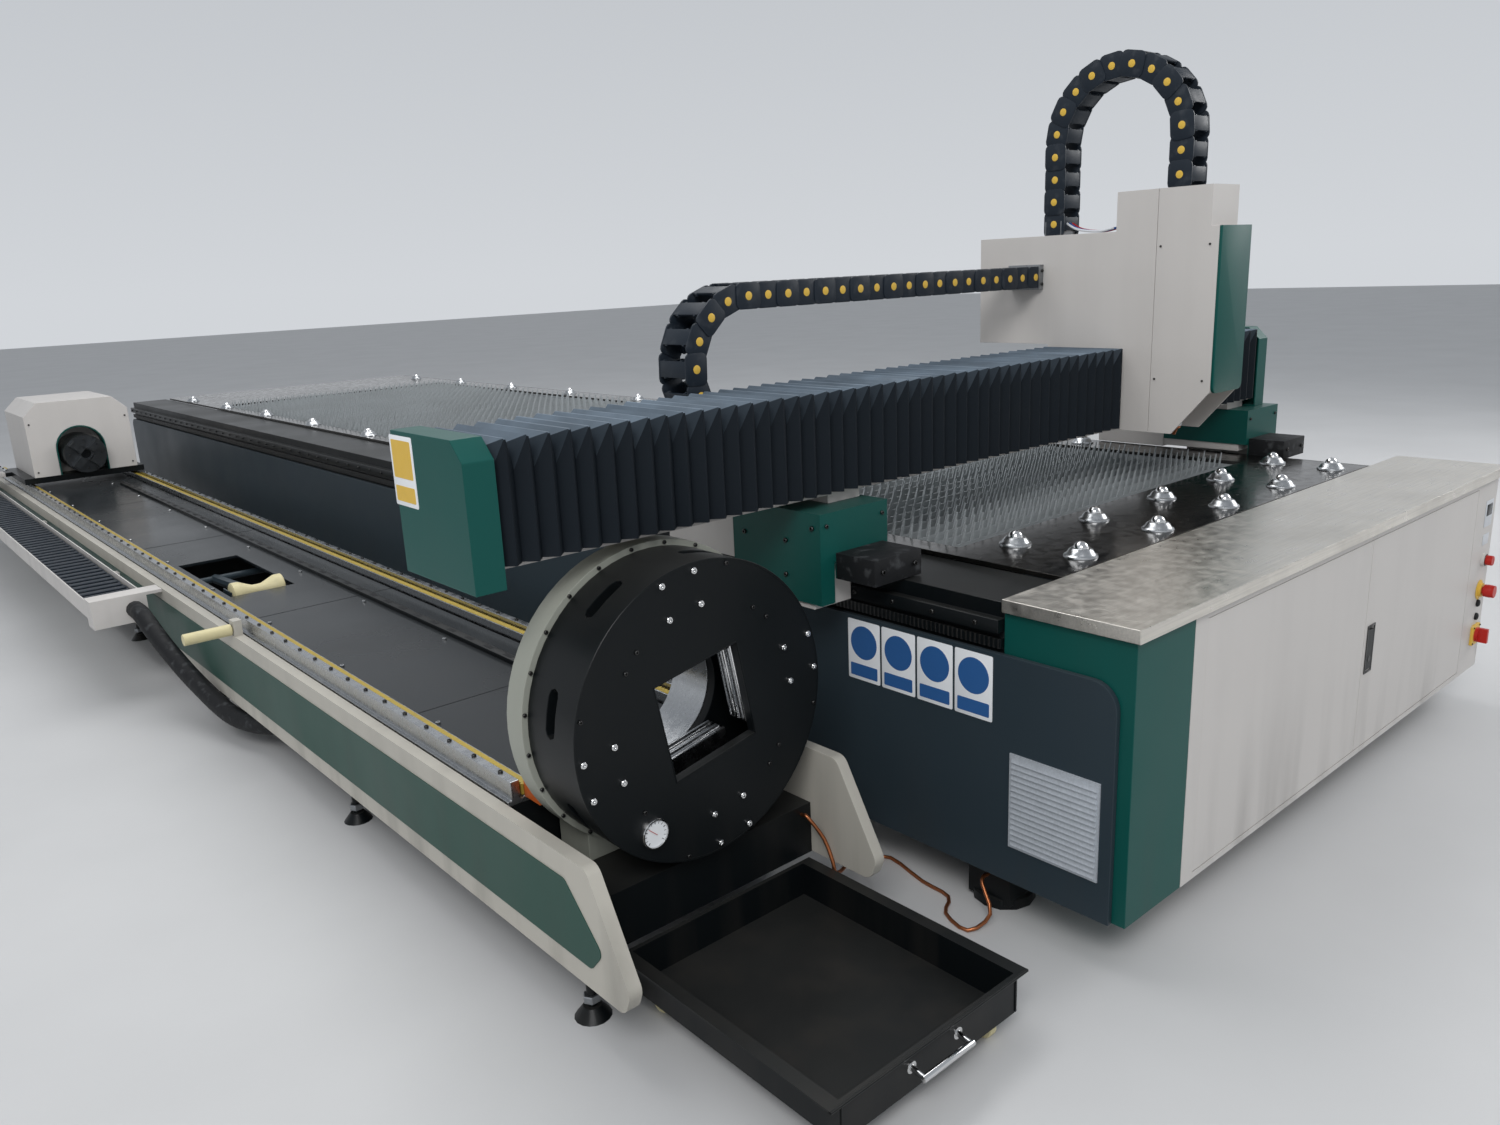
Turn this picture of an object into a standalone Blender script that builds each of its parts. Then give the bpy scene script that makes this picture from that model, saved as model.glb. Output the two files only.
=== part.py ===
"""Plate and tube laser cutting machine with a flat slatted bed, a cantilevered gantry and a rotary tube bed.

Metres, +Z up. X runs across the machine, Y along it from the cabinet to the far end, and Z = 0 is the
floor. Every position below is measured from the outer face of the flat bed's left side (x), the front of
the cabinet (y) and the floor (z). One empty, the datum, carries all pieces and puts the middle of the
whole machine over the origin.
"""

import math

import bmesh
import bpy
from mathutils import Matrix, Vector

# General
GAP = 0.0003  # clearance between pieces that touch or run on each other
SHEET = 0.005  # folded sheet covers
ROUND_STEPS = 24

# Flat bed
BED_WIDTH = 2.034
BED_LENGTH = 7.74
BED_FLOOR_GAP = 0.12
BED_BEAM_WIDTH = 0.20
BED_BEAM_BOTTOM = 0.30
BED_CROSS_COUNT = 6
BED_CROSS_WIDTH = 0.12
BED_LEG_COUNT = 5
BED_LEG_WIDTH = 0.12
FOOT_RADIUS = 0.05
FOOT_HEIGHT = 0.025
SIDE_PANEL_THICK = 0.015
SIDE_PANEL_TOP = 0.6575
SIDE_PANEL_FRONT = 0.03
SIDE_PANEL_RADIUS = 0.06

# Front cabinet and worktop
CABINET_DEPTH = 0.314
CABINET_RIGHT = BED_WIDTH + 0.126
COLUMN_WIDTH = 0.229
WORKTOP_TOP = 0.782
WORKTOP_THICK = 0.03
WORKTOP_OVERHANG = 0.04
WORKTOP_NOSE = 0.012
DOOR_LEFT = 0.282
DOOR_MIDDLE = 1.165
DOOR_RIGHT = CABINET_RIGHT - 0.175
DOOR_BOTTOM = 0.137
DOOR_TOP = 0.735
DOOR_THICK = 0.02
DOOR_JOINT = 0.002
HANDLE_LEFT = DOOR_MIDDLE + 0.022
HANDLE_WIDTH = 0.037
HANDLE_BOTTOM = 0.362
HANDLE_HEIGHT = 0.125
HANDLE_RECESS = 0.012
HANDLE_PIVOT_DROP = 0.0105
HANDLE_PROUD = 0.002
CONTROL_X = CABINET_RIGHT - 0.06
SWITCH_Z = 0.24
SWITCH_PLATE = 0.065
SWITCH_PLATE_THICK = 0.008
ESTOP_Z = 0.39
START_Z = 0.49
BUTTON_RADIUS = 0.02
BUTTON_TRAVEL = 0.006
ESTOP_REACH = 0.045

# Louvred grille
VENT_Y = 0.17
VENT_Z = 0.325
VENT_LENGTH = 0.223
VENT_HEIGHT = 0.226
VENT_BLADES = 16
VENT_DEPTH = 0.007

# Guide beams of the gantry
GUIDE_WIDTH = 0.212
GUIDE_TOP = 0.77
RAIL_LOW = 0.705
RAIL_HIGH = 0.735
RAIL_OUT = 0.023
RACK_LOW = 0.668
RACK_HIGH = 0.690
RACK_OUT = 0.013

# Slatted table
FIELD_LEFT = 0.287
FIELD_WIDTH = BED_WIDTH - 0.516
FIELD_FRONT = 0.664
FIELD_LENGTH = 6.0
SLAT_COUNT = 99
SLAT_THICK = 0.006
SLAT_LOW = SIDE_PANEL_TOP + GAP
SLAT_RIM = 0.012
SLAT_RISE = 0.03
SLAT_CLEAR = 0.004
DECK_THICK = 0.0115
DECK_STRIP = 0.069
DECK_RIGHT_STRIP = 0.15
BALL_RADIUS = 0.034
BALL_HEIGHT = 0.037
BALL_STEPS = 8

# Tube bed
TUBE_X = -0.5785
TUBE_Z = 0.6085
TUBE_PANEL_SPAN = 0.671
TUBE_PANEL_THICK = 0.03
TUBE_LEFT = TUBE_X - (TUBE_PANEL_SPAN - TUBE_PANEL_THICK) / 2 + GAP
TUBE_RIGHT = TUBE_X + (TUBE_PANEL_SPAN - TUBE_PANEL_THICK) / 2 - GAP
TUBE_PANEL_LOW = 0.145
TUBE_PANEL_TOP = 0.41
TUBE_PANEL_TIP = 0.46
TUBE_PANEL_SLOPE = 0.12
TUBE_FRONT = 0.667
TUBE_REAR = 7.70
TUBE_FRAME_LOW = 0.16
TUBE_FRAME_TOP = 0.40
TUBE_RAIL_START = 0.93
TUBE_BEAM_WIDTH = 0.068
TUBE_BAY_COUNT = 4
TUBE_CROSS_WIDTH = 0.1
CHUCK_BASE_TOP = 0.272
CHUCK_BASE_REAR = 1.25
TUBE_DECK_THICK = 0.012
TUBE_RAIL_TOP = 0.455
TUBE_RACK_TOP = 0.44
TUBE_FOOT_RADIUS = 0.04
TUBE_FOOT_FIRST = 0.70
TUBE_FOOT_STEP = 1.22
TUBE_FOOT_COUNT = 6
INSET_THICK = 0.0022
INSET_MARGIN = 0.05
INSET_END = 0.08

# Front chuck
CHUCK_FRONT = 0.63
CHUCK_RADIUS = 0.322
CHUCK_DEPTH = 0.17
CHUCK_PLATE = 0.025
CHUCK_RIM = 0.025
CHUCK_BORE = 0.17
CHUCK_WINDOW = 0.22
CHUCK_WINDOW_TURN = math.radians(10.7)
CHUCK_STEPS = 64
RIM_SLOTS = 8
RIM_SLOT_LENGTH = 0.10
RIM_SLOT_WIDTH = 0.03
STATOR_RADIUS = 0.335
STATOR_RING = 0.06
STATOR_DRUM_RADIUS = 0.29
STATOR_DRUM = 0.125
SLEEVE_WALL = 0.03
JAW_LENGTH = 0.19
JAW_DEPTH = (CHUCK_DEPTH - 2 * CHUCK_PLATE) / 2 - 2 * GAP
JAW_HEIGHT = 0.09
JAW_TRAVEL = 0.085
JAW_ROLLER_RADIUS = 0.009

# Tail carriage and tail chuck
TAIL_FRONT = 6.52
TAIL_LENGTH = 0.63
TAIL_LEFT = -0.842
TAIL_RIGHT = -0.298
TAIL_LOW = 0.49
TAIL_TOP = 0.92
TAIL_CHAMFER = 0.075
TAIL_ARCH_RADIUS = 0.13
TAIL_ARCH_DEPTH = 0.14
TAIL_CHUCK_RADIUS = 0.11
TAIL_CHUCK_NOSE = 6.42
TAIL_JAW = 0.05
TAIL_ARM = 0.1

# Cable tray of the tail carriage
TRAY_OUTER = -1.175
TRAY_INNER = -0.985
TRAY_FRONT = 3.60
TRAY_LOW = 0.33
TRAY_TOP = 0.40
TRAY_WALL = 0.005
TRAY_NEAR = 0.09

# Tube support and side roller
CUTOUT_LEFT = -0.785
CUTOUT_RIGHT = -0.555
CUTOUT_FRONT = 3.15
CUTOUT_REAR = 3.83
SUPPORT_PIVOT_Y = 3.76
SUPPORT_PIVOT_Z = 0.345
SUPPORT_ROLLER_Y = 3.22
SUPPORT_ROLLER_Z = 0.40
SUPPORT_ROLLER_LENGTH = 0.186
SUPPORT_ROLLER_RADIUS = 0.045
SIDE_ROLLER_Y = 2.66
SIDE_ROLLER_Z = 0.43
SIDE_ROLLER_LENGTH = 0.145
SIDE_ROLLER_RADIUS = 0.019

# Scrap drawer
DRAWER_LEFT = -0.80
DRAWER_RIGHT = -0.302
DRAWER_FRONT = 0.052
DRAWER_LENGTH = 0.60
DRAWER_LOW = 0.055
DRAWER_TOP = 0.14
DRAWER_WALL = 0.005
DRAWER_LIP = 0.025
WHEEL_RADIUS = 0.025
WHEEL_WIDTH = 0.022
WHEEL_INSET = 0.045

# Gantry
BEAM_FRONT = 0.795
BEAM_DEPTH = 0.20
BEAM_LOW = 0.955
BEAM_TOP = 1.165
CAP_OUTER = -1.0
CAP_WIDTH = 0.065
CAP_FRONT = 0.757
CAP_REAR = 1.05
CAP_LOW = 0.925
CAP_TOP = 1.213
CAP_CHAMFER = 0.04
GANTRY_RIGHT = BED_WIDTH + 0.111
BELLOWS_LOW = 0.967
BELLOWS_TOP = 1.208
BELLOWS_REAR = 1.03
BELLOWS_CHAMFER = 0.038
PLEAT_PITCH = 0.051
PLEAT_DEPTH = 0.022
CARRIAGE_FRONT = 0.72
CARRIAGE_DEPTH = 0.31
CARRIAGE_REAR = 1.30
CARRIAGE_OUT = 0.15
CARRIAGE_IN = 0.08
CARRIAGE_TOP = 0.935
CARRIAGE_STEP = 0.815
CARRIAGE_LOW = 0.715
COLUMN_OUT = 0.042
BUMPER_FRONT = 0.60
CHAIN_TRAY_Z = 1.05
CHAIN_TRAY_DEPTH = 0.13
CHAIN_TRAY_INSET = 0.2

# Cutting head
HEAD_LEFT = 1.20
HEAD_WIDTH = 0.172
HEAD_FRONT = 0.487
HEAD_SEAM = 0.674
HEAD_REAR = 1.30
HEAD_LOW = 0.96
HEAD_TOP = 1.548
HEAD_BLOCK_TOP = 1.66
HEAD_BLOCK_REAR = 0.805
HEAD_BLOCK_BACK = 0.025
HEAD_BLOCK_NARROW = 0.019
HEAD_REAR_LOW = 1.215
HEAD_SLOPE = 0.113
HEAD_SLOPE_HEIGHT = 0.13
STRIP_THICK = 0.008
NOZZLE_Y = 0.635
NOZZLE_TIP = 0.945

# Energy chains
LINK_PITCH = 0.067
LINK_HEIGHT = 0.067
LINK_NOTCH = 0.009
BEAM_CHAIN_Y = 1.06
BEAM_CHAIN_WIDTH = 0.11
BEAM_CHAIN_RADIUS = 0.17
BEAM_CHAIN_BEND_X = -0.045
BEAM_CHAIN_FIXED_X = 0.52
HEAD_CHAIN_WIDTH = 0.09
HEAD_CHAIN_RADIUS = 0.205
HEAD_CHAIN_REAR_Y = 1.0275
HEAD_CHAIN_ARCH_Z = 1.8075

# Hose and earthing braid
HOSE_RADIUS = 0.032
HOSE_RUN = 1.08
HOSE_DROP = 0.18
BRAID_RADIUS = 0.0045

REAR_EXTREME = BED_LENGTH + 0.04
FRONT_EXTREME = -ESTOP_REACH
WORKTOP_RIGHT = CABINET_RIGHT + WORKTOP_OVERHANG
MIDDLE_X = (TRAY_OUTER + WORKTOP_RIGHT) / 2
MIDDLE_Y = (FRONT_EXTREME + REAR_EXTREME) / 2

for old in list(bpy.data.objects):
    bpy.data.objects.remove(old, do_unlink=True)


def new_collection(name):
    made = bpy.data.collections.new(name)
    bpy.context.scene.collection.children.link(made)
    return made


PARTS = new_collection("fiber_laser_cutting_machine")
CUTTERS = new_collection("cutters")
CUTTERS.hide_render = True

DATUM = bpy.data.objects.new("datum", None)
PARTS.objects.link(DATUM)
DATUM.location = (-MIDDLE_X, -MIDDLE_Y, 0.0)


def paint(name, colour, roughness, metallic=0.0):
    made = bpy.data.materials.new(name)
    made.use_nodes = True
    shader = made.node_tree.nodes["Principled BSDF"]
    shader.inputs["Base Color"].default_value = (*colour, 1.0)
    shader.inputs["Roughness"].default_value = roughness
    shader.inputs["Metallic"].default_value = metallic
    made.diffuse_color = (*colour, 1.0)
    return made


GREEN = paint("teal_green_paint", (0.008, 0.095, 0.075), 0.4)
WHITE = paint("warm_white_paint", (0.68, 0.66, 0.62), 0.45)
SLATE = paint("slate_grey_paint", (0.045, 0.052, 0.06), 0.35)
BLACK = paint("black_paint", (0.012, 0.014, 0.016), 0.4)
STEEL = paint("stainless_steel", (0.55, 0.54, 0.52), 0.3, 1.0)
BRIGHT = paint("ground_steel", (0.6, 0.6, 0.6), 0.25, 1.0)
ZINC = paint("galvanised_steel", (0.38, 0.39, 0.4), 0.45, 1.0)
FABRIC = paint("black_coated_fabric", (0.012, 0.014, 0.017), 0.75)
PLASTIC = paint("dark_chain_plastic", (0.03, 0.04, 0.055), 0.5)
CREAM = paint("cream_plastic", (0.62, 0.58, 0.42), 0.45)
RED = paint("red_plastic", (0.6, 0.03, 0.02), 0.4)
RUBBER = paint("black_hose", (0.02, 0.02, 0.02), 0.6)
COPPER = paint("copper_braid", (0.7, 0.32, 0.18), 0.4, 1.0)


# Building blocks


def add_object(name, mesh, finish=None):
    """A part when it has a finish, and otherwise a hidden cutter."""
    made = bpy.data.objects.new(name, mesh)
    made.parent = DATUM
    if finish:
        PARTS.objects.link(made)
        mesh.materials.append(finish)
    else:
        CUTTERS.objects.link(made)
        made.hide_render = True
        made.display_type = "WIRE"
    return made


def mesh_of(shape):
    mesh = bpy.data.meshes.new("mesh")
    shape.to_mesh(mesh)
    shape.free()
    return mesh


def box(low, high):
    low, high = Vector(low), Vector(high)
    shape = bmesh.new()
    place = Matrix.Translation((low + high) / 2) @ Matrix.Diagonal((*(high - low), 1.0))
    bmesh.ops.create_cube(shape, size=1.0, matrix=place)
    return mesh_of(shape)


def cone(start, end, start_radius, end_radius, steps=ROUND_STEPS):
    start, end = Vector(start), Vector(end)
    shape = bmesh.new()
    turn = (end - start).to_track_quat("Z", "Y").to_matrix().to_4x4()
    bmesh.ops.create_cone(
        shape,
        cap_ends=True,
        segments=steps,
        radius1=start_radius,
        radius2=end_radius,
        depth=(end - start).length,
        matrix=Matrix.Translation((start + end) / 2) @ turn,
    )
    return mesh_of(shape)


def cylinder(start, end, radius, steps=ROUND_STEPS):
    mesh = cone(start, end, radius, radius, steps)
    mesh.shade_smooth()
    mesh.set_sharp_from_angle(angle=math.radians(40))
    return mesh


def evaluated_mesh(guide):
    bpy.context.scene.collection.objects.link(guide)
    graph = bpy.context.evaluated_depsgraph_get()
    mesh = bpy.data.meshes.new_from_object(guide.evaluated_get(graph))
    data = guide.data
    bpy.data.objects.remove(guide)
    if isinstance(data, bpy.types.Curve):
        bpy.data.curves.remove(data)
    shape = bmesh.new()
    shape.from_mesh(mesh)
    bmesh.ops.remove_doubles(shape, verts=shape.verts, dist=0.00001)
    shape.to_mesh(mesh)
    shape.free()
    mesh.materials.clear()
    return mesh


PLANES = {
    "X": Matrix(((0, 0, 1, 0), (1, 0, 0, 0), (0, 1, 0, 0), (0, 0, 0, 1))),
    "Y": Matrix(((1, 0, 0, 0), (0, 0, -1, 0), (0, 1, 0, 0), (0, 0, 0, 1))),
    "Z": Matrix.Identity(4),
}


def prism(axis, start, end, *outlines):
    """A flat outline, with its holes after it, made solid from start to end along an axis."""
    curve = bpy.data.curves.new("outline", "CURVE")
    curve.dimensions = "2D"
    curve.fill_mode = "BOTH"
    curve.extrude = (end - start) / 2
    for outline in outlines:
        spline = curve.splines.new("POLY")
        spline.points.add(len(outline) - 1)
        spline.use_cyclic_u = True
        for point, (across, up) in zip(spline.points, outline):
            point.co = (across, up, 0.0, 1.0)
    mesh = evaluated_mesh(bpy.data.objects.new("outline", curve))
    middle = [(start + end) / 2 if axis == name else 0.0 for name in "XYZ"]
    mesh.transform(Matrix.Translation(middle) @ PLANES[axis])
    return mesh


def tube(points, radius, sides=2):
    """A round bar or hose through the points, with flat closed ends."""
    curve = bpy.data.curves.new("route", "CURVE")
    curve.dimensions = "3D"
    curve.bevel_depth = radius
    curve.bevel_resolution = sides
    curve.use_fill_caps = True
    spline = curve.splines.new("POLY")
    spline.points.add(len(points) - 1)
    for point, place in zip(spline.points, points):
        point.co = (*place, 1.0)
    return evaluated_mesh(bpy.data.objects.new("route", curve))


def smooth_route(corners, steps):
    """Points of a smooth curve through the corners."""
    places = [Vector(corner) for corner in corners]
    places = [2 * places[0] - places[1], *places, 2 * places[-1] - places[-2]]
    route = []
    for index in range(1, len(places) - 2):
        a, b, c, d = places[index - 1 : index + 3]
        for step in range(steps):
            t = step / steps
            curve = 2 * b + (c - a) * t + (2 * a - 5 * b + 4 * c - d) * t**2 + (3 * b - a - 3 * c + d) * t**3
            route.append(curve / 2)
    route.append(places[-2])
    return route


def turned(profile, steps):
    """A solid turned about the Z axis from a profile of (radius, height), listed from top to bottom."""
    mesh = bpy.data.meshes.new("profile")
    points = [(radius, 0.0, height) for radius, height in profile]
    mesh.from_pydata(points, [(i, i + 1) for i in range(len(points) - 1)], [])
    guide = bpy.data.objects.new("profile", mesh)
    screw = guide.modifiers.new("turn", "SCREW")
    screw.steps = screw.render_steps = steps
    screw.use_merge_vertices = True
    screw.merge_threshold = 0.0001
    return evaluated_mesh(guide)


def rounded(corners, steps=4):
    """The outline through corners of (u, v, radius), with each corner turned as an arc."""
    outline = []
    for index, (u, v, radius) in enumerate(corners):
        here = Vector((u, v))
        if not radius:
            outline.append(here)
            continue
        back = (Vector(corners[index - 1][:2]) - here).normalized()
        ahead = (Vector(corners[(index + 1) % len(corners)][:2]) - here).normalized()
        half = back.angle(ahead) / 2
        centre = here + (back + ahead).normalized() * radius / math.sin(half)
        first = here + back * radius / math.tan(half) - centre
        last = here + ahead * radius / math.tan(half) - centre
        angle = math.atan2(first.y, first.x)
        sweep = (math.atan2(last.y, last.x) - angle + math.pi) % math.tau - math.pi
        for step in range(steps + 1):
            now = angle + sweep * step / steps
            outline.append(centre + radius * Vector((math.cos(now), math.sin(now))))
    return outline


def rectangle(left, low, right, high):
    return [(left, low), (right, low), (right, high), (left, high)]


def merged(*meshes):
    """One mesh of several that lie clear of each other, for use as a single cutter or addition."""
    shape = bmesh.new()
    for mesh in meshes:
        shape.from_mesh(mesh)
    return mesh_of(shape)


def boolean(target, mesh, operation):
    tool = add_object(f"{target.name}_{operation.lower()}_{len(target.modifiers)}", mesh)
    modifier = target.modifiers.new(operation.lower(), "BOOLEAN")
    modifier.operation = operation
    modifier.solver = "EXACT"
    modifier.object = tool


def cut(target, *meshes):
    for mesh in meshes:
        boolean(target, mesh, "DIFFERENCE")


def join(target, *meshes):
    for mesh in meshes:
        boolean(target, mesh, "UNION")


def put_origin(piece, point):
    """Moves a piece's origin onto its joint, leaving its shape where it is."""
    piece.data.transform(Matrix.Translation(-Vector(point)))
    piece.location = point


def mirror_x(value):
    """The same distance from the flat bed's right side as the value is from its left side."""
    return BED_WIDTH - value


def either_side(side, first, second):
    """An ordered span of x on the left (side 0) or mirrored onto the right (side 1) of the flat bed."""
    return (first, second) if side == 0 else (mirror_x(second), mirror_x(first))


# Flat bed


def bed_frame():
    front = CABINET_DEPTH + 0.002
    pitch = (BED_LENGTH - front - BED_CROSS_WIDTH) / BED_CROSS_COUNT
    inner = BED_BEAM_WIDTH
    bays = [
        rectangle(
            inner,
            front + BED_CROSS_WIDTH + pitch * bay,
            mirror_x(inner),
            front + pitch * (bay + 1),
        )
        for bay in range(BED_CROSS_COUNT)
    ]
    outer = rectangle(GAP, front, mirror_x(GAP), BED_LENGTH)
    mesh = prism("Z", BED_BEAM_BOTTOM, SIDE_PANEL_TOP - GAP, outer, *bays)
    frame = add_object("bed_frame", mesh, BLACK)
    half = BED_LEG_WIDTH / 2
    legs = []
    feet = []
    for row in range(BED_LEG_COUNT):
        y = front + half + (BED_LENGTH - front - 2 * half) * row / (BED_LEG_COUNT - 1)
        for x in (BED_BEAM_WIDTH / 2, mirror_x(BED_BEAM_WIDTH / 2)):
            legs.append(box((x - half, y - half, FOOT_HEIGHT / 2), (x + half, y + half, BED_BEAM_BOTTOM + 0.05)))
            feet.append(cylinder((x, y, 0.0), (x, y, FOOT_HEIGHT), FOOT_RADIUS * 1.5, 12))
    join(frame, merged(*legs), merged(*feet))


def side_panels():
    """The grey panels along both sides. The right one ends behind the cabinet."""
    fronts = (SIDE_PANEL_FRONT, CABINET_DEPTH + GAP)
    for side, name in enumerate(("bed_side_panel_left", "bed_side_panel_right")):
        outline = rounded(
            [
                (fronts[side], BED_FLOOR_GAP, 0.0),
                (REAR_EXTREME, BED_FLOOR_GAP, 0.0),
                (REAR_EXTREME, SIDE_PANEL_TOP, SIDE_PANEL_RADIUS),
                (fronts[side], SIDE_PANEL_TOP, SIDE_PANEL_RADIUS),
            ],
            6,
        )
        left, right = either_side(side, -SIDE_PANEL_THICK, -GAP)
        add_object(name, prism("X", left, right, outline), SLATE)


def vent_grille():
    back = -SIDE_PANEL_THICK - GAP
    front = back - VENT_DEPTH / 2
    low = VENT_Z - VENT_HEIGHT / 2
    y = (VENT_Y - VENT_LENGTH / 2, VENT_Y + VENT_LENGTH / 2)
    grille = add_object("vent_grille", box((front, y[0], low), (back, y[1], low + VENT_HEIGHT)), WHITE)
    pitch = VENT_HEIGHT / (VENT_BLADES + 1)
    edge = pitch / 2
    blades = []
    for index in range(VENT_BLADES):
        z = low + edge + pitch * index
        blade = [
            (front + 0.001, z),
            (front + 0.001, z + pitch * 0.8),
            (back - VENT_DEPTH, z + pitch * 0.15),
            (back - VENT_DEPTH, z),
        ]
        blades.append(prism("Y", y[0] + edge, y[1] - edge, blade))
    join(grille, merged(*blades))


def cabinet():
    top = WORKTOP_TOP - WORKTOP_THICK - GAP
    left = COLUMN_WIDTH + GAP
    body = add_object("cabinet", box((left, 0.0, BED_FLOOR_GAP), (CABINET_RIGHT, CABINET_DEPTH, top)), WHITE)
    inside = box(
        (left + SHEET, SHEET, BED_FLOOR_GAP + SHEET),
        (CABINET_RIGHT - SHEET, CABINET_DEPTH - SHEET, top - SHEET),
    )
    doorway = box((DOOR_LEFT, -0.01, DOOR_BOTTOM - DOOR_JOINT), (DOOR_RIGHT, 2 * SHEET, DOOR_TOP))
    cut(body, inside, doorway)
    half = SWITCH_PLATE / 2
    plate = box(
        (CONTROL_X - half, -SWITCH_PLATE_THICK, SWITCH_Z - half),
        (CONTROL_X + half, SHEET / 2, SWITCH_Z + half),
    )
    collars = [
        cylinder((CONTROL_X, -0.01, z), (CONTROL_X, SHEET / 2, z), BUTTON_RADIUS * 1.1, 16) for z in (ESTOP_Z, START_Z)
    ]
    join(body, merged(plate, *collars))
    bores = [
        cylinder((CONTROL_X, -0.02, z), (CONTROL_X, 2 * SHEET, z), radius + GAP, 16)
        for z, radius in (
            (SWITCH_Z, BUTTON_RADIUS * 0.5),
            (ESTOP_Z, BUTTON_RADIUS * 0.6),
            (START_Z, BUTTON_RADIUS * 0.8),
        )
    ]
    cut(body, merged(*bores))


def corner_column():
    top = WORKTOP_TOP - WORKTOP_THICK - GAP
    mesh = box((0.0, 0.0, BED_FLOOR_GAP), (COLUMN_WIDTH, CABINET_DEPTH, top))
    column = add_object("corner_column", mesh, GREEN)
    inside = box(
        (SHEET, SHEET, BED_FLOOR_GAP + SHEET),
        (COLUMN_WIDTH - SHEET, CABINET_DEPTH + SHEET, top - SHEET),
    )
    cut(column, inside)


def worktop():
    low = WORKTOP_TOP - WORKTOP_THICK
    mesh = box((-WORKTOP_NOSE, -WORKTOP_NOSE, low), (WORKTOP_RIGHT, CABINET_DEPTH, WORKTOP_TOP))
    add_object("worktop", mesh, STEEL)


def door(name, left, right, hinge_x):
    """A flush door, hung on the outer edge of the doorway's side."""
    mesh = box((left, 0.0, DOOR_BOTTOM), (right, DOOR_THICK, DOOR_TOP - DOOR_JOINT))
    leaf = add_object(name, mesh, WHITE)
    pocket = box(
        (left + SHEET * 3, SHEET, DOOR_BOTTOM + SHEET * 3),
        (right - SHEET * 3, DOOR_THICK + SHEET, DOOR_TOP - SHEET * 3),
    )
    if hinge_x < DOOR_MIDDLE:
        cut(leaf, pocket)
    else:
        beyond = HANDLE_LEFT + HANDLE_WIDTH + SHEET * 3
        pocket = box(
            (beyond, SHEET, DOOR_BOTTOM + SHEET * 3),
            (right - SHEET * 3, DOOR_THICK + SHEET, DOOR_TOP - SHEET * 3),
        )
        recess = box(
            (HANDLE_LEFT, -SHEET, HANDLE_BOTTOM),
            (HANDLE_LEFT + HANDLE_WIDTH, HANDLE_RECESS, HANDLE_BOTTOM + HANDLE_HEIGHT),
        )
        cut(leaf, pocket, recess)
    for tool in [leaf, *(modifier.object for modifier in leaf.modifiers)]:
        put_origin(tool, (hinge_x, 0.0, (DOOR_BOTTOM + DOOR_TOP) / 2))


def doors():
    joint = DOOR_JOINT / 2
    door("cabinet_door_left", DOOR_LEFT + GAP, DOOR_MIDDLE - joint, DOOR_LEFT + GAP)
    door("cabinet_door_right", DOOR_MIDDLE + joint, DOOR_RIGHT - GAP, DOOR_RIGHT - GAP)
    pivot_z = HANDLE_BOTTOM + HANDLE_HEIGHT - HANDLE_PIVOT_DROP
    lever = prism(
        "X",
        HANDLE_LEFT + GAP,
        HANDLE_LEFT + HANDLE_WIDTH - GAP,
        rounded(
            [
                (-HANDLE_PROUD, HANDLE_BOTTOM + 0.004, 0.0),
                (HANDLE_RECESS - 0.001, HANDLE_BOTTOM + 0.004, 0.0),
                (HANDLE_RECESS - 0.001, pivot_z + HANDLE_PROUD, HANDLE_PROUD),
                (-HANDLE_PROUD, pivot_z + HANDLE_PROUD, HANDLE_PROUD),
            ],
            3,
        ),
    )
    handle = add_object("door_handle", lever, BLACK)
    put_origin(handle, (HANDLE_LEFT + HANDLE_WIDTH / 2, HANDLE_RECESS / 2, pivot_z))


def controls():
    """The buttons and the main switch, each in its bore in the cabinet's front."""
    for name, z, radius, neck, reach in (
        ("emergency_stop_button", ESTOP_Z, BUTTON_RADIUS, 0.6, ESTOP_REACH),
        ("start_button", START_Z, BUTTON_RADIUS * 0.8, 0.8, 0.018),
    ):
        shaft = cylinder((CONTROL_X, -0.03, z), (CONTROL_X, SHEET, z), BUTTON_RADIUS * neck, 16)
        button = add_object(name, shaft, RED)
        join(button, cylinder((CONTROL_X, -reach, z), (CONTROL_X, -0.01 - BUTTON_TRAVEL - GAP, z), radius, 16))
        for tool in (button, button.modifiers[0].object):
            put_origin(tool, (CONTROL_X, 0.0, z))
    shaft = cylinder((CONTROL_X, -0.02, SWITCH_Z), (CONTROL_X, SHEET, SWITCH_Z), BUTTON_RADIUS * 0.5, 16)
    knob = add_object("main_switch_knob", shaft, RED)
    face = -SWITCH_PLATE_THICK - GAP
    disc = cylinder((CONTROL_X, -0.018, SWITCH_Z), (CONTROL_X, face, SWITCH_Z), 0.024, 16)
    grip = box((CONTROL_X - 0.007, -0.042, SWITCH_Z - 0.023), (CONTROL_X + 0.007, -0.012, SWITCH_Z + 0.023))
    join(knob, disc, grip)
    for tool in [knob, *(modifier.object for modifier in knob.modifiers)]:
        put_origin(tool, (CONTROL_X, face, SWITCH_Z))


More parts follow.
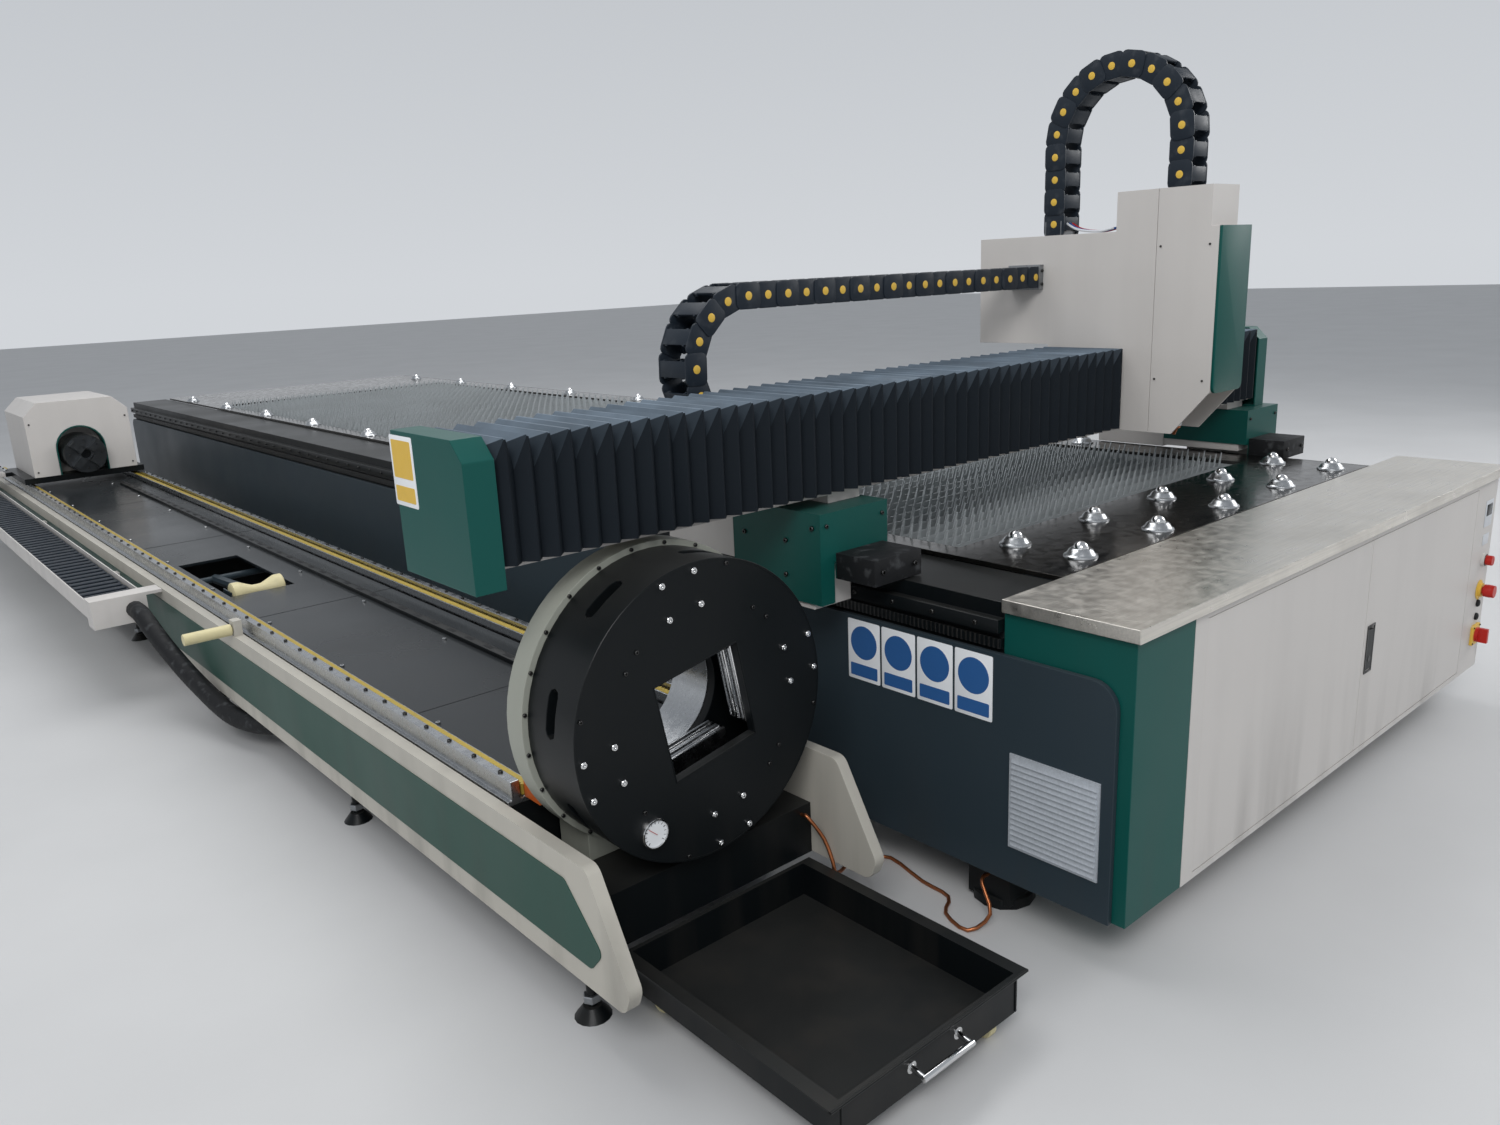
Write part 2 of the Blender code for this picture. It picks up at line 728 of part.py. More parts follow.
def guide_beams():
    """The side beams with the gantry's rail and rack along their outer faces."""
    inner = GAP + 0.003
    profile = [
        (inner, SIDE_PANEL_TOP + GAP),
        (inner + GUIDE_WIDTH, SIDE_PANEL_TOP + GAP),
        (inner + GUIDE_WIDTH, GUIDE_TOP),
        (inner, GUIDE_TOP),
        (inner, RAIL_HIGH),
        (inner - RAIL_OUT, RAIL_HIGH),
        (inner - RAIL_OUT, RAIL_LOW),
        (inner, RAIL_LOW),
        (inner, RACK_HIGH),
        (inner - RACK_OUT, RACK_HIGH),
        (inner - RACK_OUT, RACK_LOW),
        (inner, RACK_LOW),
    ]
    for side, name in enumerate(("gantry_guide_left", "gantry_guide_right")):
        outline = profile if side == 0 else [(mirror_x(x), z) for x, z in reversed(profile)]
        add_object(name, prism("Y", CABINET_DEPTH + 0.002, BED_LENGTH, outline), BLACK)


def slat_table():
    """The welded slat frame: a rim and a row of upright strips across the bed."""
    right = FIELD_LEFT + FIELD_WIDTH
    rear = FIELD_FRONT + FIELD_LENGTH
    pitch = FIELD_LENGTH / (SLAT_COUNT + 1)
    top = WORKTOP_TOP - DECK_THICK - GAP
    rim = rectangle(FIELD_LEFT - SLAT_RIM, FIELD_FRONT - SLAT_RIM, right + SLAT_RIM, rear + SLAT_RIM)
    field = rectangle(FIELD_LEFT, FIELD_FRONT, right, rear)
    table = add_object("slat_table", prism("Z", SLAT_LOW, top, rim, field), ZINC)
    low = SLAT_LOW + SLAT_THICK
    high = WORKTOP_TOP + SLAT_RISE
    shoulder = top - SLAT_THICK
    ends = SLAT_RIM / 2
    outline = [
        (FIELD_LEFT - ends, low),
        (right + ends, low),
        (right + ends, shoulder),
        (right - SLAT_CLEAR, shoulder),
        (right - SLAT_CLEAR, high),
        (FIELD_LEFT + SLAT_CLEAR, high),
        (FIELD_LEFT + SLAT_CLEAR, shoulder),
        (FIELD_LEFT - ends, shoulder),
    ]
    pattern = prism("Y", -SLAT_THICK / 2, SLAT_THICK / 2, outline)
    slats = []
    for slat in range(1, SLAT_COUNT + 1):
        strip = pattern.copy()
        strip.transform(Matrix.Translation((0.0, FIELD_FRONT + pitch * slat, 0.0)))
        slats.append(strip)
    join(table, merged(*slats))


def ball_unit(x, y):
    profile = [
        (0.0, BALL_HEIGHT),
        (BALL_RADIUS * 0.3, BALL_HEIGHT * 0.85),
        (BALL_RADIUS * 0.45, BALL_HEIGHT * 0.55),
        (BALL_RADIUS * 0.8, BALL_HEIGHT * 0.4),
        (BALL_RADIUS, BALL_HEIGHT * 0.15),
        (BALL_RADIUS, -DECK_THICK / 2),
        (0.0, -DECK_THICK / 2),
    ]
    mesh = turned(profile, BALL_STEPS)
    mesh.transform(Matrix.Translation((x, y, WORKTOP_TOP)))
    return mesh


def table_deck():
    """The stainless deck around the slats, with its ball transfer units."""
    left = FIELD_LEFT - DECK_STRIP
    right = FIELD_LEFT + FIELD_WIDTH
    field_rear = FIELD_FRONT + FIELD_LENGTH
    outer = rectangle(left, CABINET_DEPTH + 0.002, right + DECK_RIGHT_STRIP, BED_LENGTH - 0.1)
    field = rectangle(FIELD_LEFT, FIELD_FRONT, right, field_rear)
    deck = add_object("table_deck", prism("Z", WORKTOP_TOP - DECK_THICK, WORKTOP_TOP, outer, field), STEEL)
    units = []
    for row, y in enumerate((0.385, 0.572)):
        for index in range(5):
            units.append(ball_unit(0.40 + 0.36 * index, y + 0.002 * row))
    strips = (left + BALL_RADIUS * 1.1, right + DECK_RIGHT_STRIP / 2)
    for x in strips:
        for index in range(9):
            units.append(ball_unit(x, field_rear + 0.54 - 0.735 * index))
    join(deck, merged(*units))


# Tube bed


def tube_panel_outline(inset=0.0, top=TUBE_PANEL_TOP, low=TUBE_PANEL_LOW, radius=0.03):
    """The side panel seen from the left, with its sloping near end."""
    tip = TUBE_PANEL_TIP + inset
    return rounded(
        [
            (tip + 0.02 + inset * 0.3, low, radius),
            (TUBE_REAR + 0.02 - inset, low, 0.0),
            (TUBE_REAR + 0.02 - inset, top, 0.0),
            (tip + TUBE_PANEL_SLOPE, top, radius),
            (tip, low + 0.05, radius),
        ],
        4,
    )


def tube_panels():
    outline = tube_panel_outline()
    left = TUBE_LEFT - GAP - TUBE_PANEL_THICK
    right = TUBE_RIGHT + GAP
    add_object("tube_bed_panel_left", prism("X", left, left + TUBE_PANEL_THICK, outline), WHITE)
    add_object("tube_bed_panel_right", prism("X", right, right + TUBE_PANEL_THICK, outline), WHITE)
    face = left - GAP
    inset = tube_panel_outline(INSET_END, TUBE_PANEL_TOP - INSET_MARGIN, TUBE_PANEL_LOW + INSET_MARGIN, 0.02)
    add_object("tube_bed_inset", prism("X", face - INSET_THICK, face, inset), GREEN)


def tube_frame():
    """The welded frame with the block that carries the chuck, and its levelling feet."""
    inner_left = TUBE_LEFT + TUBE_BEAM_WIDTH
    inner_right = TUBE_RIGHT - TUBE_BEAM_WIDTH
    pitch = (TUBE_REAR - TUBE_RAIL_START - TUBE_CROSS_WIDTH) / TUBE_BAY_COUNT
    bays = [
        rectangle(
            inner_left,
            TUBE_RAIL_START + TUBE_CROSS_WIDTH + pitch * bay,
            inner_right,
            TUBE_RAIL_START + pitch * (bay + 1),
        )
        for bay in range(TUBE_BAY_COUNT)
    ]
    outer = rectangle(TUBE_LEFT, TUBE_RAIL_START, TUBE_RIGHT, TUBE_REAR)
    mesh = prism("Z", TUBE_FRAME_LOW, TUBE_FRAME_TOP, outer, *bays)
    frame = add_object("tube_bed_frame", mesh, BLACK)
    base = box((TUBE_LEFT, TUBE_FRONT, TUBE_PANEL_LOW), (TUBE_RIGHT, CHUCK_BASE_REAR, CHUCK_BASE_TOP))
    join(frame, base)
    stems = []
    discs = []
    for index in range(TUBE_FOOT_COUNT):
        y = TUBE_FOOT_FIRST + TUBE_FOOT_STEP * index
        for side, x in enumerate((TUBE_LEFT + 0.03, TUBE_RIGHT - 0.03)):
            drawer_clear = DRAWER_FRONT + 2 * DRAWER_LENGTH + 0.06
            place = max(y, drawer_clear) if side else y
            stems.append(cylinder((x, place, FOOT_HEIGHT / 2), (x, place, CHUCK_BASE_TOP - 0.08), 0.011, 10))
            foot = cone((x, place, 0.0), (x, place, FOOT_HEIGHT), TUBE_FOOT_RADIUS, TUBE_FOOT_RADIUS * 0.5, 16)
            discs.append(foot)
    join(frame, merged(*stems), merged(*discs))


def tube_deck():
    low = TUBE_FRAME_TOP + GAP
    edge = TUBE_BEAM_WIDTH + 0.004
    outer = rectangle(TUBE_LEFT + edge, TUBE_RAIL_START, TUBE_RIGHT - edge, TUBE_REAR)
    opening = rectangle(CUTOUT_LEFT, CUTOUT_FRONT, CUTOUT_RIGHT, CUTOUT_REAR)
    add_object("tube_bed_deck", prism("Z", low, low + TUBE_DECK_THICK, outer, opening), BLACK)


def tube_rails():
    """On each side a ground rail, with the rack beside it on one base strip."""
    low = TUBE_FRAME_TOP + GAP
    profile = [
        (0.004, low),
        (0.066, low),
        (0.066, TUBE_RACK_TOP),
        (0.046, TUBE_RACK_TOP),
        (0.046, low + 0.012),
        (0.036, low + 0.012),
        (0.036, TUBE_RAIL_TOP),
        (0.014, TUBE_RAIL_TOP),
        (0.014, low + 0.012),
        (0.004, low + 0.012),
    ]
    left = [(TUBE_LEFT + x, z) for x, z in profile]
    right = [(TUBE_RIGHT - x, z) for x, z in reversed(profile)]
    add_object("tube_rail_left", prism("Y", TUBE_RAIL_START, TUBE_REAR - 0.02, left), BRIGHT)
    add_object("tube_rail_right", prism("Y", TUBE_RAIL_START, TUBE_REAR - 0.02, right), BRIGHT)


def chuck_stator():
    """The fixed bearing housing behind the turning disc."""
    front = CHUCK_FRONT + CHUCK_DEPTH + GAP

    def drum(start, end, radius):
        return cylinder((TUBE_X, start, TUBE_Z), (TUBE_X, end, TUBE_Z), radius, CHUCK_STEPS)

    housing = add_object("chuck_housing", drum(front, front + STATOR_RING, STATOR_RADIUS), CREAM)
    foot = box(
        (TUBE_X - 0.2, front + 0.01, CHUCK_BASE_TOP + GAP),
        (TUBE_X + 0.2, front + STATOR_DRUM, TUBE_Z - CHUCK_BORE),
    )
    join(housing, drum(front + 0.01, front + STATOR_DRUM, STATOR_DRUM_RADIUS), foot)
    cut(housing, drum(front - 0.01, front + STATOR_DRUM + 0.01, CHUCK_BORE))


def turned_about_tube(angle):
    """Turns a shape about the tube's axis, from the +X direction."""
    centre = Matrix.Translation((TUBE_X, 0.0, TUBE_Z))
    return centre @ Matrix.Rotation(-angle, 4, "Y") @ centre.inverted()


def chuck_disc():
    rear = CHUCK_FRONT + CHUCK_DEPTH

    def drum(start, end, radius):
        return cylinder((TUBE_X, start, TUBE_Z), (TUBE_X, end, TUBE_Z), radius, CHUCK_STEPS)

    disc = add_object("chuck_disc", drum(CHUCK_FRONT, rear, CHUCK_RADIUS), BLACK)
    cavity = drum(CHUCK_FRONT + CHUCK_PLATE, rear - CHUCK_PLATE, CHUCK_RADIUS - CHUCK_RIM)
    bore = drum(rear - CHUCK_PLATE - 0.01, rear + 0.01, CHUCK_BORE - SLEEVE_WALL)
    half = CHUCK_WINDOW / 2
    window = box(
        (TUBE_X - half, CHUCK_FRONT - 0.01, TUBE_Z - half),
        (TUBE_X + half, CHUCK_FRONT + CHUCK_PLATE + 0.01, TUBE_Z + half),
    )
    window.transform(turned_about_tube(CHUCK_WINDOW_TURN))
    cut(disc, cavity, bore, window)
    slots = []
    middle = CHUCK_FRONT + CHUCK_DEPTH / 2
    for index in range(RIM_SLOTS):
        slot = prism(
            "X",
            TUBE_X + CHUCK_RADIUS - CHUCK_RIM - 0.01,
            TUBE_X + CHUCK_RADIUS + 0.01,
            rounded(
                [
                    (middle - RIM_SLOT_WIDTH / 2, TUBE_Z - RIM_SLOT_LENGTH / 2, RIM_SLOT_WIDTH / 2.1),
                    (middle + RIM_SLOT_WIDTH / 2, TUBE_Z - RIM_SLOT_LENGTH / 2, RIM_SLOT_WIDTH / 2.1),
                    (middle + RIM_SLOT_WIDTH / 2, TUBE_Z + RIM_SLOT_LENGTH / 2, RIM_SLOT_WIDTH / 2.1),
                    (middle - RIM_SLOT_WIDTH / 2, TUBE_Z + RIM_SLOT_LENGTH / 2, RIM_SLOT_WIDTH / 2.1),
                ],
                2,
            ),
        )
        slot.transform(turned_about_tube(CHUCK_WINDOW_TURN + math.tau * (index + 0.5) / RIM_SLOTS))
        slots.append(slot)
    cut(disc, merged(*slots))


def chuck_sleeve():
    """The turning sleeve that runs in the housing's bore."""
    start = CHUCK_FRONT + CHUCK_DEPTH + GAP
    outer = CHUCK_BORE - 0.001
    mesh = cylinder((TUBE_X, start, TUBE_Z), (TUBE_X, start + STATOR_DRUM, TUBE_Z), outer, 48)
    sleeve = add_object("chuck_sleeve", mesh, BRIGHT)
    cut(sleeve, cylinder((TUBE_X, start - 0.01, TUBE_Z), (TUBE_X, start + 1.0, TUBE_Z), outer - SLEEVE_WALL, 48))


JAW_NAMES = ("chuck_jaw_right", "chuck_jaw_top", "chuck_jaw_left", "chuck_jaw_bottom")


def chuck_jaws():
    """Four jaws with rollers, in two layers so that the pairs can close past each other."""
    for index, name in enumerate(JAW_NAMES):
        layer = CHUCK_FRONT + CHUCK_PLATE + GAP + (JAW_DEPTH + 2 * GAP) * (index % 2)
        inner = TUBE_X + CHUCK_WINDOW / 2 + 0.004
        block = box(
            (inner, layer, TUBE_Z - JAW_LENGTH / 2),
            (inner + JAW_HEIGHT, layer + JAW_DEPTH, TUBE_Z + JAW_LENGTH / 2),
        )
        rollers = [
            cylinder(
                (inner + 0.002, layer + y, TUBE_Z - JAW_LENGTH / 2 + 0.008),
                (inner + 0.002, layer + y, TUBE_Z + JAW_LENGTH / 2 - 0.008),
                JAW_ROLLER_RADIUS,
                10,
            )
            for y in (JAW_DEPTH * 0.25, JAW_DEPTH * 0.75)
        ]
        turn = turned_about_tube(CHUCK_WINDOW_TURN + math.pi / 2 * index)
        rolls = merged(*rollers)
        block.transform(turn)
        rolls.transform(turn)
        jaw = add_object(name, block, BRIGHT)
        join(jaw, rolls)


# Tail carriage


def tail_carriage():
    rear = TAIL_FRONT + TAIL_LENGTH
    outline = [
        (TAIL_LEFT, TAIL_LOW + GAP),
        (TAIL_RIGHT, TAIL_LOW + GAP),
        (TAIL_RIGHT, TAIL_TOP - TAIL_CHAMFER),
        (TAIL_RIGHT - TAIL_CHAMFER, TAIL_TOP),
        (TAIL_LEFT + TAIL_CHAMFER, TAIL_TOP),
        (TAIL_LEFT, TAIL_TOP - TAIL_CHAMFER),
    ]
    housing = add_object("tail_housing", prism("Y", TAIL_FRONT, rear, outline), WHITE)
    arch = [(TUBE_X + TAIL_ARCH_RADIUS, TAIL_LOW - 0.01), (TUBE_X + TAIL_ARCH_RADIUS, TUBE_Z + 0.03)]
    for step in range(1, 12):
        angle = math.pi * step / 12
        arch.append(
            (
                TUBE_X + TAIL_ARCH_RADIUS * math.cos(angle),
                TUBE_Z + 0.03 + TAIL_ARCH_RADIUS * math.sin(angle),
            )
        )
    arch += [(TUBE_X - TAIL_ARCH_RADIUS, TUBE_Z + 0.03), (TUBE_X - TAIL_ARCH_RADIUS, TAIL_LOW - 0.01)]
    recess = prism("Y", TAIL_FRONT - 0.01, TAIL_FRONT + TAIL_ARCH_DEPTH, arch)
    inside = box(
        (TAIL_LEFT + 0.1, TAIL_FRONT + TAIL_ARCH_DEPTH + 0.1, TAIL_LOW - 0.01),
        (TAIL_RIGHT - 0.1, rear - SHEET, TAIL_TOP - 0.1),
    )
    cut(housing, recess, inside)
    low = TUBE_RAIL_TOP + GAP
    slab = box((TUBE_LEFT + 0.004, TAIL_FRONT + 0.01, low), (TUBE_RIGHT - 0.004, rear, TAIL_LOW))
    plate = add_object("tail_base", slab, BLACK)
    reach = (TRAY_OUTER + TAIL_ARM / 5, rear - 2 * TAIL_ARM, low + TAIL_ARM / 10)
    arm = box(reach, (TUBE_LEFT + TAIL_ARM / 5, rear - TAIL_ARM, TAIL_LOW))
    rise = box(reach, (TRAY_INNER - TAIL_ARM / 5, rear - TAIL_ARM, TAIL_LOW + TAIL_ARM * 1.1))
    join(plate, arm, rise)


def tail_chuck():
    nose = TAIL_CHUCK_NOSE
    seat = TAIL_FRONT + TAIL_ARCH_DEPTH - GAP

    def drum(start, end, radius):
        return cylinder((TUBE_X, start, TUBE_Z), (TUBE_X, end, TUBE_Z), radius, 32)

    chuck = add_object("tail_chuck", drum(nose, seat, TAIL_CHUCK_RADIUS), BRIGHT)
    jaws = []
    for index in range(4):
        jaw = box(
            (TUBE_X + 0.03, nose - TAIL_JAW, TUBE_Z - 0.018),
            (TUBE_X + TAIL_CHUCK_RADIUS - 0.01, nose + 0.01, TUBE_Z + 0.018),
        )
        jaw.transform(turned_about_tube(math.pi / 4 + math.pi / 2 * index))
        jaws.append(jaw)
    join(chuck, merged(*jaws))
    cut(chuck, drum(nose - 0.02, nose + 0.04, 0.026))


def cable_tray():
    rear = TUBE_REAR - 0.15
    profile = [
        (TRAY_OUTER, TRAY_LOW),
        (TRAY_INNER, TRAY_LOW),
        (TRAY_INNER, TRAY_TOP),
        (TRAY_INNER - TRAY_WALL, TRAY_TOP),
        (TRAY_INNER - TRAY_WALL, TRAY_LOW + TRAY_WALL),
        (TRAY_OUTER + TRAY_WALL, TRAY_LOW + TRAY_WALL),
        (TRAY_OUTER + TRAY_WALL, TRAY_TOP),
        (TRAY_OUTER, TRAY_TOP),
    ]
    tray = add_object("cable_tray", prism("Y", TRAY_FRONT, rear, profile), WHITE)
    panel = TUBE_LEFT - TUBE_PANEL_THICK - 2 * GAP
    near = box(
        (TRAY_OUTER, TRAY_FRONT - TRAY_NEAR, TRAY_LOW - 0.03),
        (TRAY_INNER, TRAY_FRONT + 0.001, TRAY_TOP + 0.008),
    )
    shelf = box((TRAY_INNER - 0.01, TRAY_FRONT - TRAY_NEAR, TRAY_TOP - 0.004), (panel, TRAY_FRONT, TRAY_TOP + 0.008))
    bearers = [
        box((TRAY_INNER - 0.004, y, TRAY_LOW), (panel - INSET_THICK, y + 0.05, TRAY_LOW + 0.02))
        for y in (TRAY_FRONT + 0.6, TRAY_FRONT + 2.2, rear - 0.2)
    ]
    join(tray, near, shelf, merged(*bearers))


# Energy chains


def chain_mesh(axis, start, end, stations, height):
    """A run of links: full height along each link and notched where two links meet."""
    one_side = [centre + normal * (height / 2 - notch) for centre, normal, notch in stations]
    other_side = [centre - normal * (height / 2 - notch) for centre, normal, notch in stations]
    return prism(axis, start, end, one_side + other_side[::-1])


def chain_stations(segments):
    """Stations along straight and bent segments: centre, normal and depth of notch.

    A segment is (start, heading, length, radius), with radius 0 where it is straight and otherwise
    the bend's radius, turning left of the heading.
    """
    total = sum(segment[2] for segment in segments)
    links = max(1, round(total / LINK_PITCH))
    pitch = total / links
    distances = []
    for link in range(links):
        distances += [(pitch * (link + 0.12), 0.0), (pitch * (link + 0.88), 0.0)]
        if link < links - 1:
            distances.append((pitch * (link + 1), LINK_NOTCH))
    distances = [(0.0, 0.0), *distances, (total, 0.0)]
    stations = []
    for distance, notch in distances:
        for start, heading, length, radius in segments:
            if distance <= length + 1e-9:
                break
            distance -= length
        ahead = Vector((math.cos(heading), math.sin(heading)))
        left = Vector((-ahead.y, ahead.x))
        if radius:
            turn = distance / radius
            centre = Vector(start) + left * radius + (ahead * math.sin(turn) - left * math.cos(turn)) * radius
            normal = left * math.cos(turn) - ahead * math.sin(turn)
        else:
            centre = Vector(start) + ahead * distance
            normal = left
        stations.append((centre, normal, notch))
    return stations


def beam_chain():
    """From the head back along the beam, round the bend and forward on the tray behind the beam."""
    low = CHAIN_TRAY_Z + GAP + LINK_HEIGHT / 2
    high = low + 2 * BEAM_CHAIN_RADIUS
    straight = HEAD_LEFT - GAP - BEAM_CHAIN_BEND_X
    segments = [
        ((HEAD_LEFT - GAP, high), math.pi, straight, 0.0),
        ((BEAM_CHAIN_BEND_X, high), math.pi, math.pi * BEAM_CHAIN_RADIUS, BEAM_CHAIN_RADIUS),
        ((BEAM_CHAIN_BEND_X, low), 0.0, BEAM_CHAIN_FIXED_X - BEAM_CHAIN_BEND_X, 0.0),
    ]
    stations = chain_stations(segments)
    mesh = chain_mesh("Y", BEAM_CHAIN_Y, BEAM_CHAIN_Y + BEAM_CHAIN_WIDTH, stations, LINK_HEIGHT)
    add_object("beam_energy_chain", mesh, PLASTIC)


def head_chain():
    """The arch from the fixed cover's top over to the top of the lifting cover."""
    rear = HEAD_CHAIN_REAR_Y
    front = rear - 2 * HEAD_CHAIN_RADIUS
    foot = HEAD_BLOCK_TOP + GAP
    segments = [
        ((front, foot), math.pi / 2, HEAD_CHAIN_ARCH_Z - foot, 0.0),
        ((front, HEAD_CHAIN_ARCH_Z), math.pi / 2, math.pi * HEAD_CHAIN_RADIUS, -HEAD_CHAIN_RADIUS),
        ((rear, HEAD_CHAIN_ARCH_Z), -math.pi / 2, HEAD_CHAIN_ARCH_Z - HEAD_TOP - GAP, 0.0),
    ]
    stations = chain_stations(segments)
    left = HEAD_LEFT + 0.006
    add_object("head_energy_chain", chain_mesh("X", left, left + HEAD_CHAIN_WIDTH, stations, LINK_HEIGHT * 1.1), PLASTIC)


def tray_chain():
    """The chain that lies in the side tray and rises to the tail carriage's arm."""
    low = TRAY_LOW + TRAY_WALL + GAP + 0.025
    rear = TAIL_FRONT + TAIL_LENGTH - 0.19
    segments = [((TRAY_FRONT + 0.01, low), 0.0, rear - TRAY_FRONT - 0.01, 0.0)]
    stations = chain_stations(segments)
    left = TRAY_OUTER + TRAY_WALL + 0.004
    right = TRAY_INNER - TRAY_WALL - 0.004
    add_object("tray_energy_chain", chain_mesh("X", left, right, stations[::2] + stations[-1:], 0.05), PLASTIC)


# Tube support, side roller and scrap drawer


def tube_support():
    middle = (CUTOUT_LEFT + CUTOUT_RIGHT) / 2
    arm = add_object(
        "support_arm",
        tube(
            [
                (middle, SUPPORT_PIVOT_Y + 0.002, SUPPORT_PIVOT_Z),
                (middle, SUPPORT_ROLLER_Y + 0.068, SUPPORT_ROLLER_Z - 0.021),
            ],
            0.02,
            2,
        ),
        SLATE,
    )
    reach = SUPPORT_ROLLER_LENGTH / 2
    pivot = cylinder(
        (TUBE_LEFT + TUBE_BEAM_WIDTH + GAP, SUPPORT_PIVOT_Y, SUPPORT_PIVOT_Z),
        (TUBE_RIGHT - TUBE_BEAM_WIDTH - GAP, SUPPORT_PIVOT_Y, SUPPORT_PIVOT_Z),
        0.014,
        12,
    )
    yoke = box(
        (middle - reach - 0.002, SUPPORT_ROLLER_Y + 0.055, SUPPORT_ROLLER_Z - 0.035),
        (middle + reach + 0.002, SUPPORT_ROLLER_Y + 0.085, SUPPORT_ROLLER_Z - 0.003),
    )
    ears = [
        box(
            (x, SUPPORT_ROLLER_Y - 0.012, SUPPORT_ROLLER_Z - 0.028),
            (x + SHEET, SUPPORT_ROLLER_Y + 0.08, SUPPORT_ROLLER_Z + 0.012),
        )
        for x in (middle - reach - SHEET - GAP, middle + reach + GAP)
    ]
    join(arm, pivot, yoke, merged(*ears))
    for tool in [arm, *(modifier.object for modifier in arm.modifiers)]:
        put_origin(tool, (middle, SUPPORT_PIVOT_Y, SUPPORT_PIVOT_Z))
    steps = 20
    half = reach
    profile = [
        (0.0, half),
        (SUPPORT_ROLLER_RADIUS, half),
        (SUPPORT_ROLLER_RADIUS, half * 0.7),
        (SUPPORT_ROLLER_RADIUS * 0.5, half * 0.15),
        (SUPPORT_ROLLER_RADIUS * 0.5, -half * 0.15),
        (SUPPORT_ROLLER_RADIUS, -half * 0.7),
        (SUPPORT_ROLLER_RADIUS, -half),
        (0.0, -half),
    ]
    mesh = turned(profile, steps)
    mesh.transform(Matrix.Rotation(math.pi / 2, 4, "Y"))
    roller = add_object("support_roller", mesh, CREAM)
    roller.location = (middle, SUPPORT_ROLLER_Y, SUPPORT_ROLLER_Z)


def side_roller():
    """A roller on a bracket at the tube bed's left edge, for tubes handed in from the side."""
    face = TUBE_LEFT - TUBE_PANEL_THICK - GAP
    end = face - 0.002
    far = end - SIDE_ROLLER_LENGTH
    mesh = cylinder((far, SIDE_ROLLER_Y, SIDE_ROLLER_Z), (end, SIDE_ROLLER_Y, SIDE_ROLLER_Z), SIDE_ROLLER_RADIUS, 20)
    roller = add_object("side_roller", mesh, CREAM)
    pin = cylinder(
        (end - 0.01, SIDE_ROLLER_Y, SIDE_ROLLER_Z), (face + 0.0265, SIDE_ROLLER_Y, SIDE_ROLLER_Z), 0.008, 12
    )
    join(roller, pin)
    for tool in (roller, roller.modifiers[0].object):
        put_origin(tool, (end, SIDE_ROLLER_Y, SIDE_ROLLER_Z))
    panel = bpy.data.objects["tube_bed_panel_left"]
    bracket = box(
        (face + 0.002, SIDE_ROLLER_Y - 0.02, TUBE_PANEL_TOP - 0.01),
        (face + TUBE_PANEL_THICK - 0.002, SIDE_ROLLER_Y + 0.02, SIDE_ROLLER_Z + 0.03),
    )
    join(panel, bracket)
    start = (face - 0.01, SIDE_ROLLER_Y, SIDE_ROLLER_Z)
    cut(panel, cylinder(start, (face + 0.027, SIDE_ROLLER_Y, SIDE_ROLLER_Z), 0.008 + GAP, 12))


def drawer():
    rear = DRAWER_FRONT + DRAWER_LENGTH
    shell = box((DRAWER_LEFT, DRAWER_FRONT, DRAWER_LOW), (DRAWER_RIGHT, rear, DRAWER_TOP))
    tray = add_object("scrap_drawer", shell, BLACK)
    lip = box(
        (DRAWER_LEFT - DRAWER_LIP, DRAWER_FRONT - 0.008, DRAWER_TOP - DRAWER_WALL),
        (DRAWER_RIGHT + DRAWER_LIP, rear + 0.006, DRAWER_TOP),
    )
    join(tray, lip)
    cut(
        tray,
        box(
            (DRAWER_LEFT + DRAWER_WALL, DRAWER_FRONT + DRAWER_WALL, DRAWER_LOW + DRAWER_WALL),
            (DRAWER_RIGHT - DRAWER_WALL, rear - DRAWER_WALL, DRAWER_TOP + 0.01),
        ),
    )
    forks = []
    axles = []
    for x in (DRAWER_LEFT + WHEEL_INSET, DRAWER_RIGHT - WHEEL_INSET):
        for y in (DRAWER_FRONT + WHEEL_INSET, rear - WHEEL_INSET):
            for side in (-1, 1):
                near = x + side * (WHEEL_WIDTH / 2 + 0.002)
                far = x + side * (WHEEL_WIDTH / 2 + 0.005)
                fork = box((min(near, far), y - 0.012, 0.018), (max(near, far), y + 0.012, DRAWER_LOW + 0.002))
                forks.append(fork)
            start = x - WHEEL_WIDTH / 2 - 0.004
            axles.append(cylinder((start, y, WHEEL_RADIUS), (start + WHEEL_WIDTH + 0.008, y, WHEEL_RADIUS), 0.004, 8))
    join(tray, merged(*forks), merged(*axles))
    middle = (DRAWER_LEFT + DRAWER_RIGHT) / 2
    route = [
        (middle - 0.065, DRAWER_FRONT + 0.002, 0.105),
        (middle - 0.065, DRAWER_FRONT - 0.032, 0.1),
        (middle + 0.065, DRAWER_FRONT - 0.032, 0.1),
        (middle + 0.065, DRAWER_FRONT + 0.002, 0.105),
    ]
    join(tray, tube(route, 0.0055, 1))


def drawer_wheels():
    rear = DRAWER_FRONT + DRAWER_LENGTH
    for row, y in (("front", DRAWER_FRONT + WHEEL_INSET), ("rear", rear - WHEEL_INSET)):
        for side, x in (("left", DRAWER_LEFT + WHEEL_INSET), ("right", DRAWER_RIGHT - WHEEL_INSET)):
            half = WHEEL_WIDTH / 2
            mesh = cylinder((-half, 0.0, 0.0), (half, 0.0, 0.0), WHEEL_RADIUS, 20)
            wheel = add_object(f"drawer_wheel_{row}_{side}", mesh, CREAM)
            hole = cylinder((-half - 0.01, 0.0, 0.0), (half + 0.01, 0.0, 0.0), 0.004 + GAP, 8)
            cut(wheel, hole)
            for tool in (wheel, wheel.modifiers[0].object):
                tool.location = (x, y, WHEEL_RADIUS)


# Gantry


